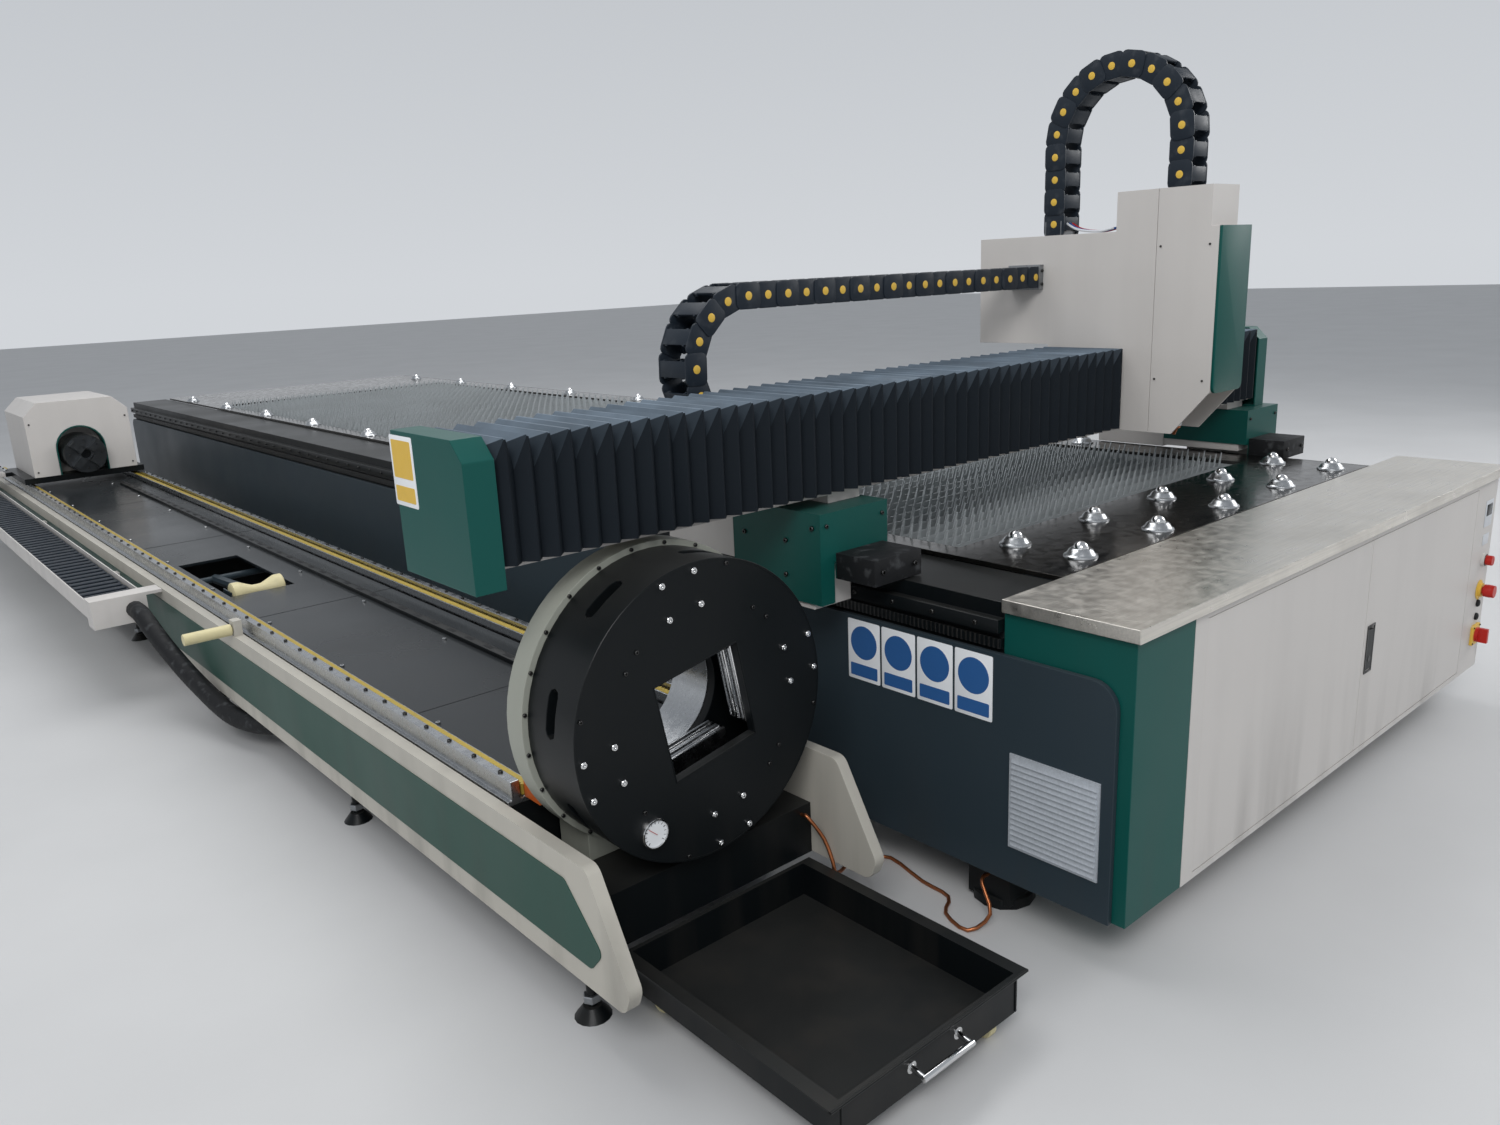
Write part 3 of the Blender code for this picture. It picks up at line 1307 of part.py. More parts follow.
def gantry_beam():
    """The beam with the shelf behind it that carries the energy chain."""
    rear = BEAM_FRONT + BEAM_DEPTH
    wall = BELLOWS_REAR + 0.01
    profile = [
        (BEAM_FRONT, BEAM_LOW),
        (wall + 0.012, BEAM_LOW),
        (wall + 0.012, CHAIN_TRAY_Z - 0.012),
        (wall + CHAIN_TRAY_DEPTH, CHAIN_TRAY_Z - 0.012),
        (wall + CHAIN_TRAY_DEPTH, CHAIN_TRAY_Z),
        (wall, CHAIN_TRAY_Z),
        (wall, BEAM_LOW + 0.01),
        (rear, BEAM_LOW + 0.01),
        (rear, BEAM_TOP),
        (BEAM_FRONT, BEAM_TOP),
    ]
    start = CAP_OUTER + SHEET + GAP
    end = GANTRY_RIGHT - SHEET - GAP
    beam = add_object("gantry_beam", prism("X", start, end, profile), WHITE)
    cut(
        beam,
        box(
            (start - 0.01, BELLOWS_REAR, BEAM_LOW - 0.01),
            (CAP_OUTER + CHAIN_TRAY_INSET, wall + CHAIN_TRAY_DEPTH + 0.01, CHAIN_TRAY_Z + 0.01),
        ),
    )


def beam_caps():
    """The end covers of the beam. The right one stands on the carriage cover."""
    rear = CAP_REAR + 0.13
    shelf = CHAIN_TRAY_Z + 0.03

    def outline(low, wall, step):
        back = [(rear - wall, low + wall), (rear - wall, shelf - wall), (CAP_REAR - wall, shelf - wall)]
        return [
            (CAP_FRONT + wall, low + wall),
            *(back if step else [(CAP_REAR - wall, low + wall)]),
            (CAP_REAR - wall, CAP_TOP - wall),
            (CAP_FRONT + CAP_CHAMFER, CAP_TOP - wall),
            (CAP_FRONT + wall, CAP_TOP - CAP_CHAMFER),
        ]

    start, end = CAP_OUTER, CAP_OUTER + CAP_WIDTH
    left = add_object("beam_cap_left", prism("X", start, end, outline(CAP_LOW, 0.0, False)), GREEN)
    cut(left, prism("X", start + SHEET, end + 0.01, outline(CAP_LOW, SHEET, False)))
    start, end = GANTRY_RIGHT - CAP_WIDTH, GANTRY_RIGHT
    low = CARRIAGE_TOP + GAP
    right = add_object("beam_cap_right", prism("X", start, end, outline(low, 0.0, True)), GREEN)
    cut(right, prism("X", start - 0.01, end - SHEET, outline(low, SHEET, True)))


def bellows(name, start, end):
    """Pleated cover over the beam: ridges and valleys in turn along X, open underneath.

    A ridge keeps a square corner and a valley has its corner cut off, so flat diamonds lie between ridges.
    """
    low, high, rear = BELLOWS_LOW, BELLOWS_TOP, BELLOWS_REAR
    valley = CAP_FRONT + PLEAT_DEPTH
    fold = CAP_FRONT + BELLOWS_CHAMFER
    ridge_section = [(CAP_FRONT, low), (CAP_FRONT + 0.002, high - 0.002), (rear, high), (rear, low)]
    valley_section = [
        (valley, low),
        (valley, high - BELLOWS_CHAMFER - PLEAT_DEPTH),
        (fold + PLEAT_DEPTH, high - PLEAT_DEPTH),
        (rear, high - PLEAT_DEPTH),
        (rear, low),
    ]
    pleats = max(1, round((end - start) / PLEAT_PITCH))
    shape = bmesh.new()
    rings = []
    for index in range(2 * pleats + 1):
        x = start + (end - start) * index / (2 * pleats)
        section = ridge_section if index % 2 else valley_section
        rings.append([shape.verts.new((x, y, z)) for y, z in section])
    shape.faces.new(rings[0])
    shape.faces.new(rings[-1])
    for before, after in zip(rings, rings[1:]):
        ridge, hollow = (before, after) if len(before) == 4 else (after, before)
        shape.faces.new((ridge[0], ridge[1], hollow[1], hollow[0]))
        shape.faces.new((ridge[1], hollow[2], hollow[1]))
        shape.faces.new((ridge[1], ridge[2], hollow[3], hollow[2]))
        shape.faces.new((ridge[2], ridge[3], hollow[4], hollow[3]))
        shape.faces.new((ridge[3], ridge[0], hollow[0], hollow[4]))
    bmesh.ops.recalc_face_normals(shape, faces=shape.faces)
    cover = add_object(name, mesh_of(shape), FABRIC)
    cut(
        cover,
        box(
            (start - 0.01, BEAM_FRONT - 0.008, BELLOWS_LOW - 0.01),
            (end + 0.01, BEAM_FRONT + BEAM_DEPTH + 0.008, BEAM_TOP + 0.007),
        ),
    )


def both_bellows():
    bellows("bellows_left", CAP_OUTER + CAP_WIDTH + GAP, HEAD_LEFT - GAP)
    bellows("bellows_right", HEAD_LEFT + HEAD_WIDTH + GAP, GANTRY_RIGHT - CAP_WIDTH - GAP)


def carriages():
    """On each side the carriage under the beam, and the green cover round its drive."""
    for side, word in enumerate(("left", "right")):
        inner = CARRIAGE_IN - SHEET - GAP
        outer = -CARRIAGE_OUT + SHEET + GAP
        rail_face = GAP + 0.003 - RAIL_OUT - GAP

        def span(first, second, y, z):
            left, right = either_side(side, first, second)
            return box((left, y[0], z[0]), (right, y[1], z[1]))

        front = BEAM_FRONT + 0.005
        rear = BEAM_FRONT + BEAM_DEPTH - 0.005
        slab = span(outer, inner, (front - 0.05, CARRIAGE_REAR - 0.1), (GUIDE_TOP + 0.02, GUIDE_TOP + 0.06))
        carriage = add_object(f"gantry_carriage_{word}", slab, WHITE)
        column = span(-COLUMN_OUT, inner - 0.005, (front, rear), (GUIDE_TOP + 0.03, BEAM_LOW - GAP))
        flange = span(outer, rail_face, (front - 0.05, rear), (RAIL_LOW - 0.005, GUIDE_TOP + 0.03))
        lining = span(
            -CARRIAGE_OUT,
            CARRIAGE_IN,
            (CARRIAGE_FRONT + CARRIAGE_DEPTH + GAP, CARRIAGE_REAR),
            (GUIDE_TOP + 0.015, CARRIAGE_TOP - 0.04),
        )
        join(carriage, column, flange, lining)

        profile = [
            (-CARRIAGE_OUT, CARRIAGE_LOW),
            (-CARRIAGE_OUT + 0.045, CARRIAGE_LOW),
            (-CARRIAGE_OUT + 0.045, CARRIAGE_STEP),
            (CARRIAGE_IN, CARRIAGE_STEP),
            (CARRIAGE_IN, CARRIAGE_TOP),
            (-CARRIAGE_OUT, CARRIAGE_TOP),
        ]
        outline = profile if side == 0 else [(mirror_x(x), z) for x, z in reversed(profile)]
        mesh = prism("Y", CARRIAGE_FRONT, CARRIAGE_FRONT + CARRIAGE_DEPTH, outline)
        cover = add_object(f"carriage_cover_{word}", mesh, GREEN)
        cavity = span(
            -CARRIAGE_OUT + SHEET,
            CARRIAGE_IN - SHEET,
            (CARRIAGE_FRONT + SHEET, CARRIAGE_FRONT + CARRIAGE_DEPTH + 0.01),
            (CARRIAGE_LOW - 0.05, CARRIAGE_TOP - SHEET),
        )
        throat = span(-COLUMN_OUT - 0.002, inner, (front - 0.002, rear + 0.002), (CARRIAGE_TOP - 0.02, CARRIAGE_TOP + 0.02))
        bumper = span(-0.10, 0.06, (BUMPER_FRONT, CARRIAGE_FRONT + 0.002), (GUIDE_TOP + 0.004, CARRIAGE_STEP + 0.02))
        join(cover, bumper)
        cut(cover, cavity, throat)


# Cutting head


def head_covers():
    right = HEAD_LEFT + HEAD_WIDTH
    clear = 0.008
    rear_slab = BELLOWS_REAR + 0.003
    beam_rear = BEAM_FRONT + BEAM_DEPTH + clear
    fixed = [
        (HEAD_SEAM, HEAD_LOW),
        (BEAM_FRONT - clear, HEAD_LOW),
        (BEAM_FRONT - clear, BEAM_TOP + clear),
        (beam_rear, BEAM_TOP + clear),
        (beam_rear, BEAM_LOW + 0.02),
        (rear_slab, BEAM_LOW + 0.02),
        (rear_slab, HEAD_REAR_LOW),
        (HEAD_REAR, HEAD_REAR_LOW),
        (HEAD_REAR, HEAD_TOP),
        (HEAD_BLOCK_REAR, HEAD_TOP),
        (HEAD_BLOCK_REAR, HEAD_BLOCK_TOP),
        (HEAD_SEAM, HEAD_BLOCK_TOP),
    ]
    block_right = right - HEAD_BLOCK_NARROW
    beyond = HEAD_BLOCK_TOP + SHEET
    cover = add_object("head_cover", prism("X", HEAD_LEFT, right, fixed), WHITE)
    cut(cover, box((block_right, HEAD_FRONT, HEAD_TOP), (right + SHEET, HEAD_REAR, beyond)))
    inside = [
        (HEAD_SEAM + 0.03, BEAM_TOP + 0.05),
        (rear_slab - 0.002, BEAM_TOP + 0.05),
        (rear_slab + 0.012, HEAD_REAR_LOW - 0.02),
        (HEAD_REAR - SHEET, HEAD_REAR_LOW - 0.02),
        (HEAD_REAR - SHEET, HEAD_TOP - SHEET),
        (HEAD_SEAM + 0.03, HEAD_TOP - SHEET),
    ]
    cut(cover, prism("X", HEAD_LEFT + SHEET, right - SHEET, inside))

    seam = HEAD_SEAM - GAP * 5
    slope_top = HEAD_LOW + HEAD_SLOPE_HEIGHT
    block_front = HEAD_FRONT + HEAD_BLOCK_BACK
    lifting = [
        (HEAD_FRONT, slope_top),
        (HEAD_FRONT + HEAD_SLOPE, HEAD_LOW),
        (seam, HEAD_LOW),
        (seam, HEAD_BLOCK_TOP),
        (block_front, HEAD_BLOCK_TOP),
        (block_front, HEAD_TOP),
        (HEAD_FRONT, HEAD_TOP),
    ]
    lift = add_object("lift_cover", prism("X", HEAD_LEFT, right, lifting), WHITE)
    shell = box(
        (HEAD_LEFT + SHEET, HEAD_FRONT + SHEET, HEAD_LOW - 0.05),
        (right - SHEET, seam - SHEET, HEAD_TOP - SHEET),
    )
    block = box(
        (HEAD_LEFT + SHEET, block_front + SHEET, HEAD_TOP - 2 * SHEET),
        (block_right - SHEET, seam - SHEET, HEAD_BLOCK_TOP - SHEET),
    )
    cut(lift, box((block_right, HEAD_FRONT, HEAD_TOP), (right + SHEET, HEAD_REAR, beyond)), shell, block)
    strip = prism(
        "Y",
        HEAD_FRONT - STRIP_THICK,
        HEAD_FRONT + SHEET / 2,
        rounded(
            [
                (HEAD_LEFT, slope_top - 0.005, 0.02),
                (right, slope_top - 0.005, 0.02),
                (right, HEAD_TOP, 0.0),
                (HEAD_LEFT, HEAD_TOP, 0.0),
            ],
            4,
        ),
    )
    join(lift, strip)

    middle = HEAD_LEFT + HEAD_WIDTH / 2
    back = seam - SHEET - GAP
    body = box((middle - 0.045, NOZZLE_Y - 0.05, HEAD_LOW + 0.16), (middle + 0.045, back, HEAD_TOP - 0.1))
    cutting_head = add_object("cutting_head", body, SLATE)
    join(
        cutting_head,
        cylinder((middle, NOZZLE_Y, HEAD_LOW + 0.03), (middle, NOZZLE_Y, HEAD_LOW + 0.17), 0.027, 16),
        cone((middle, NOZZLE_Y, NOZZLE_TIP), (middle, NOZZLE_Y, HEAD_LOW + 0.035), 0.004, 0.017, 12),
    )


# Hose and braid


def hose():
    """The supply hose from the tray's near end down to the underside of the tube bed."""
    panel = TUBE_LEFT - TUBE_PANEL_THICK
    near = TRAY_FRONT - TRAY_NEAR
    side = TRAY_INNER - 0.045
    exit_z = TRAY_LOW + 0.02
    lowest = TUBE_FRAME_LOW - 2 * HOSE_RADIUS - GAP
    corners = [
        (side, near - HOSE_RUN * 0.01, exit_z),
        (side, near - HOSE_RUN * 0.046, exit_z),
        (side, near - HOSE_RUN * 0.11, exit_z - HOSE_DROP * 0.05),
        (side + HOSE_DROP * 0.13, near - HOSE_RUN * 0.26, exit_z - HOSE_DROP * 0.55),
        (panel - HOSE_DROP * 0.25, near - HOSE_RUN * 0.46, exit_z - HOSE_DROP * 1.05),
        (panel - HOSE_DROP * 0.03, near - HOSE_RUN * 0.69, lowest),
        (panel + HOSE_DROP * 0.33, near - HOSE_RUN * 0.88, lowest + HOSE_DROP * 0.05),
        (panel + HOSE_DROP * 0.89, near - HOSE_RUN, lowest + HOSE_DROP * 0.08),
    ]
    start = (side, near - GAP, exit_z)
    add_object("supply_hose", tube([start, *smooth_route(corners, 4)], HOSE_RADIUS, 2), RUBBER)


def braid():
    """The earthing braid from the chuck's block along the floor to the flat bed's first leg."""
    leg_x = (BED_BEAM_WIDTH - BED_LEG_WIDTH) / 2 - GAP
    leg_y = CABINET_DEPTH + 0.002 + BED_LEG_WIDTH / 2
    floor = BRAID_RADIUS + 0.001
    corners = [
        (TUBE_RIGHT - 0.03, TUBE_FRONT - 0.008, 0.252),
        (TUBE_RIGHT - 0.03, TUBE_FRONT - 0.02, 0.252),
        (TUBE_RIGHT - 0.008, TUBE_FRONT - 0.05, 0.200),
        (TUBE_RIGHT - 0.006, TUBE_FRONT - 0.075, 0.150),
        (TUBE_RIGHT - 0.004, TUBE_FRONT - 0.08, 0.125),
        (TUBE_RIGHT + 0.025, TUBE_FRONT - 0.07, 0.110),
        (TUBE_RIGHT + 0.10, TUBE_FRONT - 0.04, 0.100),
        (TUBE_RIGHT + 0.18, TUBE_FRONT + 0.02, 0.030),
        (TUBE_RIGHT + 0.245, TUBE_FRONT + 0.04, floor),
        (leg_x - 0.01, TUBE_FRONT + 0.01, floor),
        (leg_x - 0.04, leg_y + 0.17, floor),
        (leg_x - 0.05, leg_y + 0.08, floor),
        (leg_x - 0.11, leg_y + 0.04, floor),
        (leg_x - 0.13, leg_y - 0.04, floor),
        (leg_x - 0.06, leg_y - 0.05, 0.020),
        (leg_x - 0.035, leg_y - 0.008, 0.070),
        (leg_x - 0.02, leg_y, 0.080),
        (leg_x - 0.008, leg_y, 0.080),
    ]
    start = (TUBE_RIGHT - 0.03, TUBE_FRONT - GAP, 0.252)
    route = [start, *smooth_route(corners, 3), (leg_x, leg_y, 0.080)]
    add_object("earthing_braid", tube(route, BRAID_RADIUS, 1), COPPER)


def build():
    bed_frame()
    side_panels()
    vent_grille()
    cabinet()
    corner_column()
    worktop()
    doors()
    controls()
    guide_beams()
    slat_table()
    table_deck()
    tube_panels()
    tube_frame()
    tube_deck()
    tube_rails()
    chuck_stator()
    chuck_disc()
    chuck_sleeve()
    chuck_jaws()
    tail_carriage()
    tail_chuck()
    cable_tray()
    tray_chain()
    tube_support()
    side_roller()
    drawer()
    drawer_wheels()
    gantry_beam()
    beam_caps()
    both_bellows()
    carriages()
    beam_chain()
    head_chain()
    head_covers()
    hose()
    braid()


build()
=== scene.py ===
"""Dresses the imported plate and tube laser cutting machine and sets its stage.

Metres, +Z up. Points are given as in the CAD source: from the outer face of the flat bed's left side (x), the
front of the cabinet (y) and the floor (z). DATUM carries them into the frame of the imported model.
"""

import fnmatch
import math
import random

import bmesh
import bpy
from bpy.props import FloatProperty, PointerProperty
from mathutils import Matrix, Vector


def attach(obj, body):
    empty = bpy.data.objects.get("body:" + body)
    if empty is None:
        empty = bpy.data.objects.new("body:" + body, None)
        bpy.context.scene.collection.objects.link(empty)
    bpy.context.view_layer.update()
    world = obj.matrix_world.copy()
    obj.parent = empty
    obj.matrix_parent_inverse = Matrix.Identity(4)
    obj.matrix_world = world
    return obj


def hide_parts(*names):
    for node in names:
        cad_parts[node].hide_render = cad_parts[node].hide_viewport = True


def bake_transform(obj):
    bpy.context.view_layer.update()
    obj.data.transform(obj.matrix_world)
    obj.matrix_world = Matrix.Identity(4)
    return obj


bl_info = {
    "name": "Laser cutting machine dressing",
    "version": (1, 0, 0),
    "blender": (4, 5, 0),
    "location": "View3D > Sidebar > Machine",
    "description": "Covers, chains, details, finishes, light and camera for the packed machine",
    "category": "Object",
}

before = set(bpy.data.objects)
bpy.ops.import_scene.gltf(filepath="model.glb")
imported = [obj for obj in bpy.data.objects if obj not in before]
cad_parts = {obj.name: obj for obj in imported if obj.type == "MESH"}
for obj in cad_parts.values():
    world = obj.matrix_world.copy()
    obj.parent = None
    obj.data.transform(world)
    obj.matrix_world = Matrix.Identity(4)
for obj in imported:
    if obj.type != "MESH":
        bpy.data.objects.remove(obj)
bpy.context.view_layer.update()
DATUM = Vector((-0.5125, -3.8675, 0.0))
TUBE_X, TUBE_Z = -0.5785, 0.6085
TUBE_LEFT, TUBE_RIGHT = -0.8987, -0.2583
WINDOW_TURN = math.radians(10.7)
BED_RIGHT = 2.034
CHUCK_FRONT, TAIL_CHUCK_FRONT = 0.63, 6.42
LINK_PITCH = 0.067
RACK_PITCH = 0.0125
BOLT_PITCH = 0.12
SCREW_HEAD = ((0.72, 1.0), (0.9, 0.85), (0.9, 0.52), (0.315, 0.48), (0.315, 0.0))
LEFT, RIGHT, FRONT, REAR, UP = (-1, 0, 0), (1, 0, 0), (0, -1, 0), (0, 1, 0), (0, 0, 1)
PLANES = {
    "X": Matrix(((0, 0, 1, 0), (1, 0, 0, 0), (0, 1, 0, 0), (0, 0, 0, 1))),
    "Y": Matrix(((1, 0, 0, 0), (0, 0, -1, 0), (0, 1, 0, 0), (0, 0, 0, 1))),
    "Z": Matrix.Identity(4),
}


# Building blocks


class Shape:
    """Solids gathered in one mesh, each with the number of its material slot."""

    def __init__(self):
        self.mesh = bmesh.new()

    def add(self, solid, slot=0, bevel=0.0, turn=None):
        bmesh.ops.recalc_face_normals(solid, faces=solid.faces)
        if bevel:
            edges = [e for e in solid.edges if e.is_manifold and e.calc_face_angle(0.0) > 0.5]
            bmesh.ops.bevel(solid, geom=edges, offset=bevel, segments=2, affect="EDGES", profile=0.5)
        if turn:
            bmesh.ops.transform(solid, matrix=turn, verts=solid.verts)
        for face in solid.faces:
            face.material_index = slot
            face.smooth = True
        part = bpy.data.meshes.new("part")
        solid.to_mesh(part)
        solid.free()
        self.mesh.from_mesh(part)
        bpy.data.meshes.remove(part)
        return self

    def box(self, low, high, **how):
        low, high = Vector(low), Vector(high)
        solid = bmesh.new()
        place = Matrix.Translation((low + high) / 2) @ Matrix.Diagonal((*(high - low), 1.0))
        bmesh.ops.create_cube(solid, size=1.0, matrix=place)
        return self.add(solid, **how)

    def prism(self, axis, start, end, outline, **how):
        """The outline drawn out along an axis; the plane of Y looks along -Y, so its levels change sign."""
        solid = bmesh.new()
        place = PLANES[axis]
        levels = (-start, -end) if axis == "Y" else (start, end)
        rings = [[solid.verts.new(place @ Vector((u, v, w))) for u, v in outline] for w in levels]
        solid.faces.new(rings[0])
        solid.faces.new(rings[1][::-1])
        for index in range(len(outline)):
            ahead = (index + 1) % len(outline)
            solid.faces.new((rings[0][index], rings[1][index], rings[1][ahead], rings[0][ahead]))
        return self.add(solid, **how)

    def turned(self, start, facing, profile, steps=24, **how):
        """A solid of revolution; profile is (distance along the axis, radius), and a closed one is a ring."""
        spin = Vector(facing).to_track_quat("Z", "Y").to_matrix().to_4x4()
        place = Matrix.Translation(start) @ spin
        solid = bmesh.new()
        rings = []
        for along, radius in profile:
            if radius < 1e-6:
                rings.append([solid.verts.new(place @ Vector((0, 0, along)))])
                continue
            turns = [math.tau * step / steps for step in range(steps)]
            points = [Vector((radius * math.cos(a), radius * math.sin(a), along)) for a in turns]
            rings.append([solid.verts.new(place @ point) for point in points])
        hollow = profile[0] == profile[-1]
        if hollow:
            bmesh.ops.delete(solid, geom=rings.pop(), context="VERTS")
            rings.append(rings[0])
        for before, after in zip(rings, rings[1:]):
            for step in range(steps):
                ahead = (step + 1) % steps
                corners = {before[step % len(before)]: 0, before[ahead % len(before)]: 0}
                corners.update({after[ahead % len(after)]: 0, after[step % len(after)]: 0})
                if len(corners) > 2:
                    solid.faces.new(list(corners))
        for ring in () if hollow else (rings[0], rings[-1]):
            if len(ring) > 1:
                solid.faces.new(ring)
        return self.add(solid, **how)

    def rod(self, start, end, radius, steps=20, **how):
        along = Vector(end) - Vector(start)
        return self.turned(start, along, [(0, radius), (along.length, radius)], steps, **how)

    def screw(self, place, outward, radius=0.006, **how):
        """A socket head screw: a chamfered head with its recess."""
        head = [(radius * along, radius * out) for along, out in SCREW_HEAD]
        return self.turned(place, outward, [(-0.002, radius), *head], 12, **how)

    def make(self, name, body, finishes, replaces=(), angle=35, slot=None):
        mesh = bpy.data.meshes.new(name)
        self.mesh.to_mesh(mesh)
        self.mesh.free()
        for finish in finishes:
            mesh.materials.append(finish_named(finish))
        mesh.set_sharp_from_angle(angle=math.radians(angle))
        piece = bpy.data.objects.new(name, mesh)
        piece.location = DATUM
        bpy.context.scene.collection.objects.link(piece)
        if body:
            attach(piece, body)
        if replaces:
            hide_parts(*replaces)
        return piece


def finish_named(name):
    return bpy.data.materials["finish_" + name]


def rounded(corners, radius, steps=4):
    """The outline through the corners, with each one turned as an arc."""
    outline = []
    for index, corner in enumerate(corners):
        here = Vector(corner)
        back = (Vector(corners[index - 1]) - here).normalized()
        ahead = (Vector(corners[(index + 1) % len(corners)]) - here).normalized()
        half = back.angle(ahead) / 2
        centre = here + (back + ahead).normalized() * radius / math.sin(half)
        first = here + back * radius / math.tan(half) - centre
        last = here + ahead * radius / math.tan(half) - centre
        angle = math.atan2(first.y, first.x)
        sweep = (math.atan2(last.y, last.x) - angle + math.pi) % math.tau - math.pi
        for step in range(steps + 1):
            now = angle + sweep * step / steps
            outline.append(tuple(centre + radius * Vector((math.cos(now), math.sin(now)))))
    return outline


def rectangle(left, low, right, high):
    return [(left, low), (right, low), (right, high), (left, high)]


def smooth_route(corners, steps):
    places = [Vector(corner) for corner in corners]
    places = [2 * places[0] - places[1], *places, 2 * places[-1] - places[-2]]
    route = []
    for index in range(1, len(places) - 2):
        a, b, c, d = places[index - 1 : index + 3]
        for step in range(steps):
            t = step / steps
            curve = 2 * b + (c - a) * t + (2 * a - 5 * b + 4 * c - d) * t**2 + (3 * b - a - 3 * c + d) * t**3
            route.append(curve / 2)
    route.append(places[-2])
    return route


def window_side(index):
    """The turn about the tube's axis that carries what stands right of it to a side of the chuck's window."""
    centre = Matrix.Translation((TUBE_X, 0.0, TUBE_Z))
    return centre @ Matrix.Rotation(-(WINDOW_TURN + math.pi / 2 * index), 4, "Y") @ centre.inverted()


# Finishes


def linear(code):
    """Scene colour of a display colour written as six hex digits."""
    parts = [int(code[index : index + 2], 16) / 255 for index in (0, 2, 4)]
    return (*[c / 12.92 if c < 0.04045 else ((c + 0.055) / 1.055) ** 2.4 for c in parts], 1.0)


def add_node(tree, kind, inputs=None, **settings):
    made = tree.nodes.new(kind)
    for name, value in settings.items():
        setattr(made, name, value)
    for name, value in (inputs or {}).items():
        if isinstance(value, bpy.types.NodeSocket):
            tree.links.new(value, made.inputs[name])
        else:
            made.inputs[name].default_value = value
    return made


def noise(tree, where, scale, detail=3.0, stretch=(1, 1, 1)):
    moved = add_node(tree, "ShaderNodeMapping", {"Vector": where, "Scale": stretch})
    inputs = {"Vector": moved.outputs[0], "Scale": scale, "Detail": detail}
    return add_node(tree, "ShaderNodeTexNoise", inputs).outputs[0]


def spread(tree, value, low, high, first, last):
    inputs = {0: value, 1: low, 2: high, 3: first, 4: last}
    return add_node(tree, "ShaderNodeMapRange", inputs).outputs[0]


def mixed(tree, factor, first, last, blend="MIX"):
    inputs = {0: factor, 6: first, 7: last}
    return add_node(tree, "ShaderNodeMix", inputs, data_type="RGBA", blend_type=blend).outputs[2]


def maths(tree, operation, first, last):
    return add_node(tree, "ShaderNodeMath", {0: first, 1: last}, operation=operation).outputs[0]


def product(tree, *values):
    result = values[0]
    for value in values[1:]:
        result = maths(tree, "MULTIPLY", result, value)
    return result


def height_of(tree, vector):
    return add_node(tree, "ShaderNodeSeparateXYZ", {0: vector}).outputs["Z"]


def facing_up(tree):
    return height_of(tree, add_node(tree, "ShaderNodeNewGeometry").outputs["Normal"])


def sprayed_paint(tree, where, colour, rough, wear):
    """Fine peel, soft patches, dust on what faces up and grime near the floor."""
    patches = noise(tree, where, 1.9, 5.0)
    streaks = noise(tree, where, 9.0, 4.0, (1.0, 1.0, 0.12))
    peel = noise(tree, where, 420.0, 2.0)
    low = spread(tree, height_of(tree, where), 0.02, 0.45, 1.0, 0.12)
    grime = product(tree, spread(tree, streaks, 0.46, 0.72, 0.0, 1.0), low, wear)
    tone = mixed(tree, wear, (1, 1, 1, 1), spread(tree, patches, 0.3, 0.7, 0.86, 1.06))
    colour = mixed(tree, 1.0, colour, tone, "MULTIPLY")
    upward_tint = product(tree, spread(tree, facing_up(tree), 0.7, 1.0, 0.0, 0.3), patches, wear)
    colour = mixed(tree, upward_tint, colour, linear("8f8c86"))
    colour = mixed(tree, grime, colour, linear("3a3632"))
    rough = maths(tree, "ADD", rough, spread(tree, patches, 0.3, 0.7, -0.05, 0.1))
    return colour, rough, peel, 0.12, 0.0006


def brushed_metal(tree, where, colour, rough, wear):
    """Long fine grain across X, handling marks and light scratches."""
    grain = noise(tree, where, 90.0, 6.0, (0.05, 2.5, 2.5))
    marks = noise(tree, where, 4.0, 6.0)
    spots = noise(tree, where, 38.0, 3.0)
    colour = mixed(tree, 1.0, colour, spread(tree, grain, 0.3, 0.7, 0.9, 1.08), "MULTIPLY")
    worn = product(tree, spread(tree, marks, 0.45, 0.75, 0.0, 0.7), wear)
    colour = mixed(tree, worn, colour, linear("5d5a55"))
    rough = maths(tree, "ADD", rough, spread(tree, spots, 0.3, 0.75, -0.04, 0.12))
    rough = maths(tree, "ADD", rough, maths(tree, "MULTIPLY", worn, 0.3))
    return colour, rough, grain, 0.1, 0.0006


def coated_cloth(tree, where, colour, rough, wear):
    """A fine woven grain under the coating, with dust and painted light from above on what faces up."""
    threads = []
    for direction in ("X", "Z"):
        inputs = {"Vector": where, "Scale": 260.0}
        threads.append(add_node(tree, "ShaderNodeTexWave", inputs, bands_direction=direction).outputs[1])
    weave = maths(tree, "MAXIMUM", *threads)
    patches = noise(tree, where, 7.0, 5.0)
    # Painted light from above, with dust: what faces up is mixed, in patches, towards a paler shade of the
    # cloth's own blue grey
    tint_patches = spread(tree, patches, 0.3, 0.7, 0.6, 1.0)
    upward_tint = product(tree, spread(tree, facing_up(tree), 0.1, 0.9, 0.02, 1.0), tint_patches, wear)
    colour = mixed(tree, upward_tint, colour, linear("7c8b99"))
    rough = maths(tree, "ADD", rough, spread(tree, patches, 0.3, 0.7, -0.08, 0.1))
    return colour, rough, weave, 0.35, 0.0004


def moulded_plastic(tree, where, colour, rough, wear):
    """A fine even grain with faint scuffs, for plastic and rubber."""
    grain = noise(tree, where, 900.0, 2.0)
    scuffs = noise(tree, where, 30.0, 6.0)
    worn = product(tree, spread(tree, scuffs, 0.55, 0.75, 0.0, 0.5), wear)
    colour = mixed(tree, worn, colour, linear("8a8d90"))
    rough = maths(tree, "ADD", rough, spread(tree, scuffs, 0.3, 0.7, -0.05, 0.12))
    return colour, rough, grain, 0.25, 0.0003


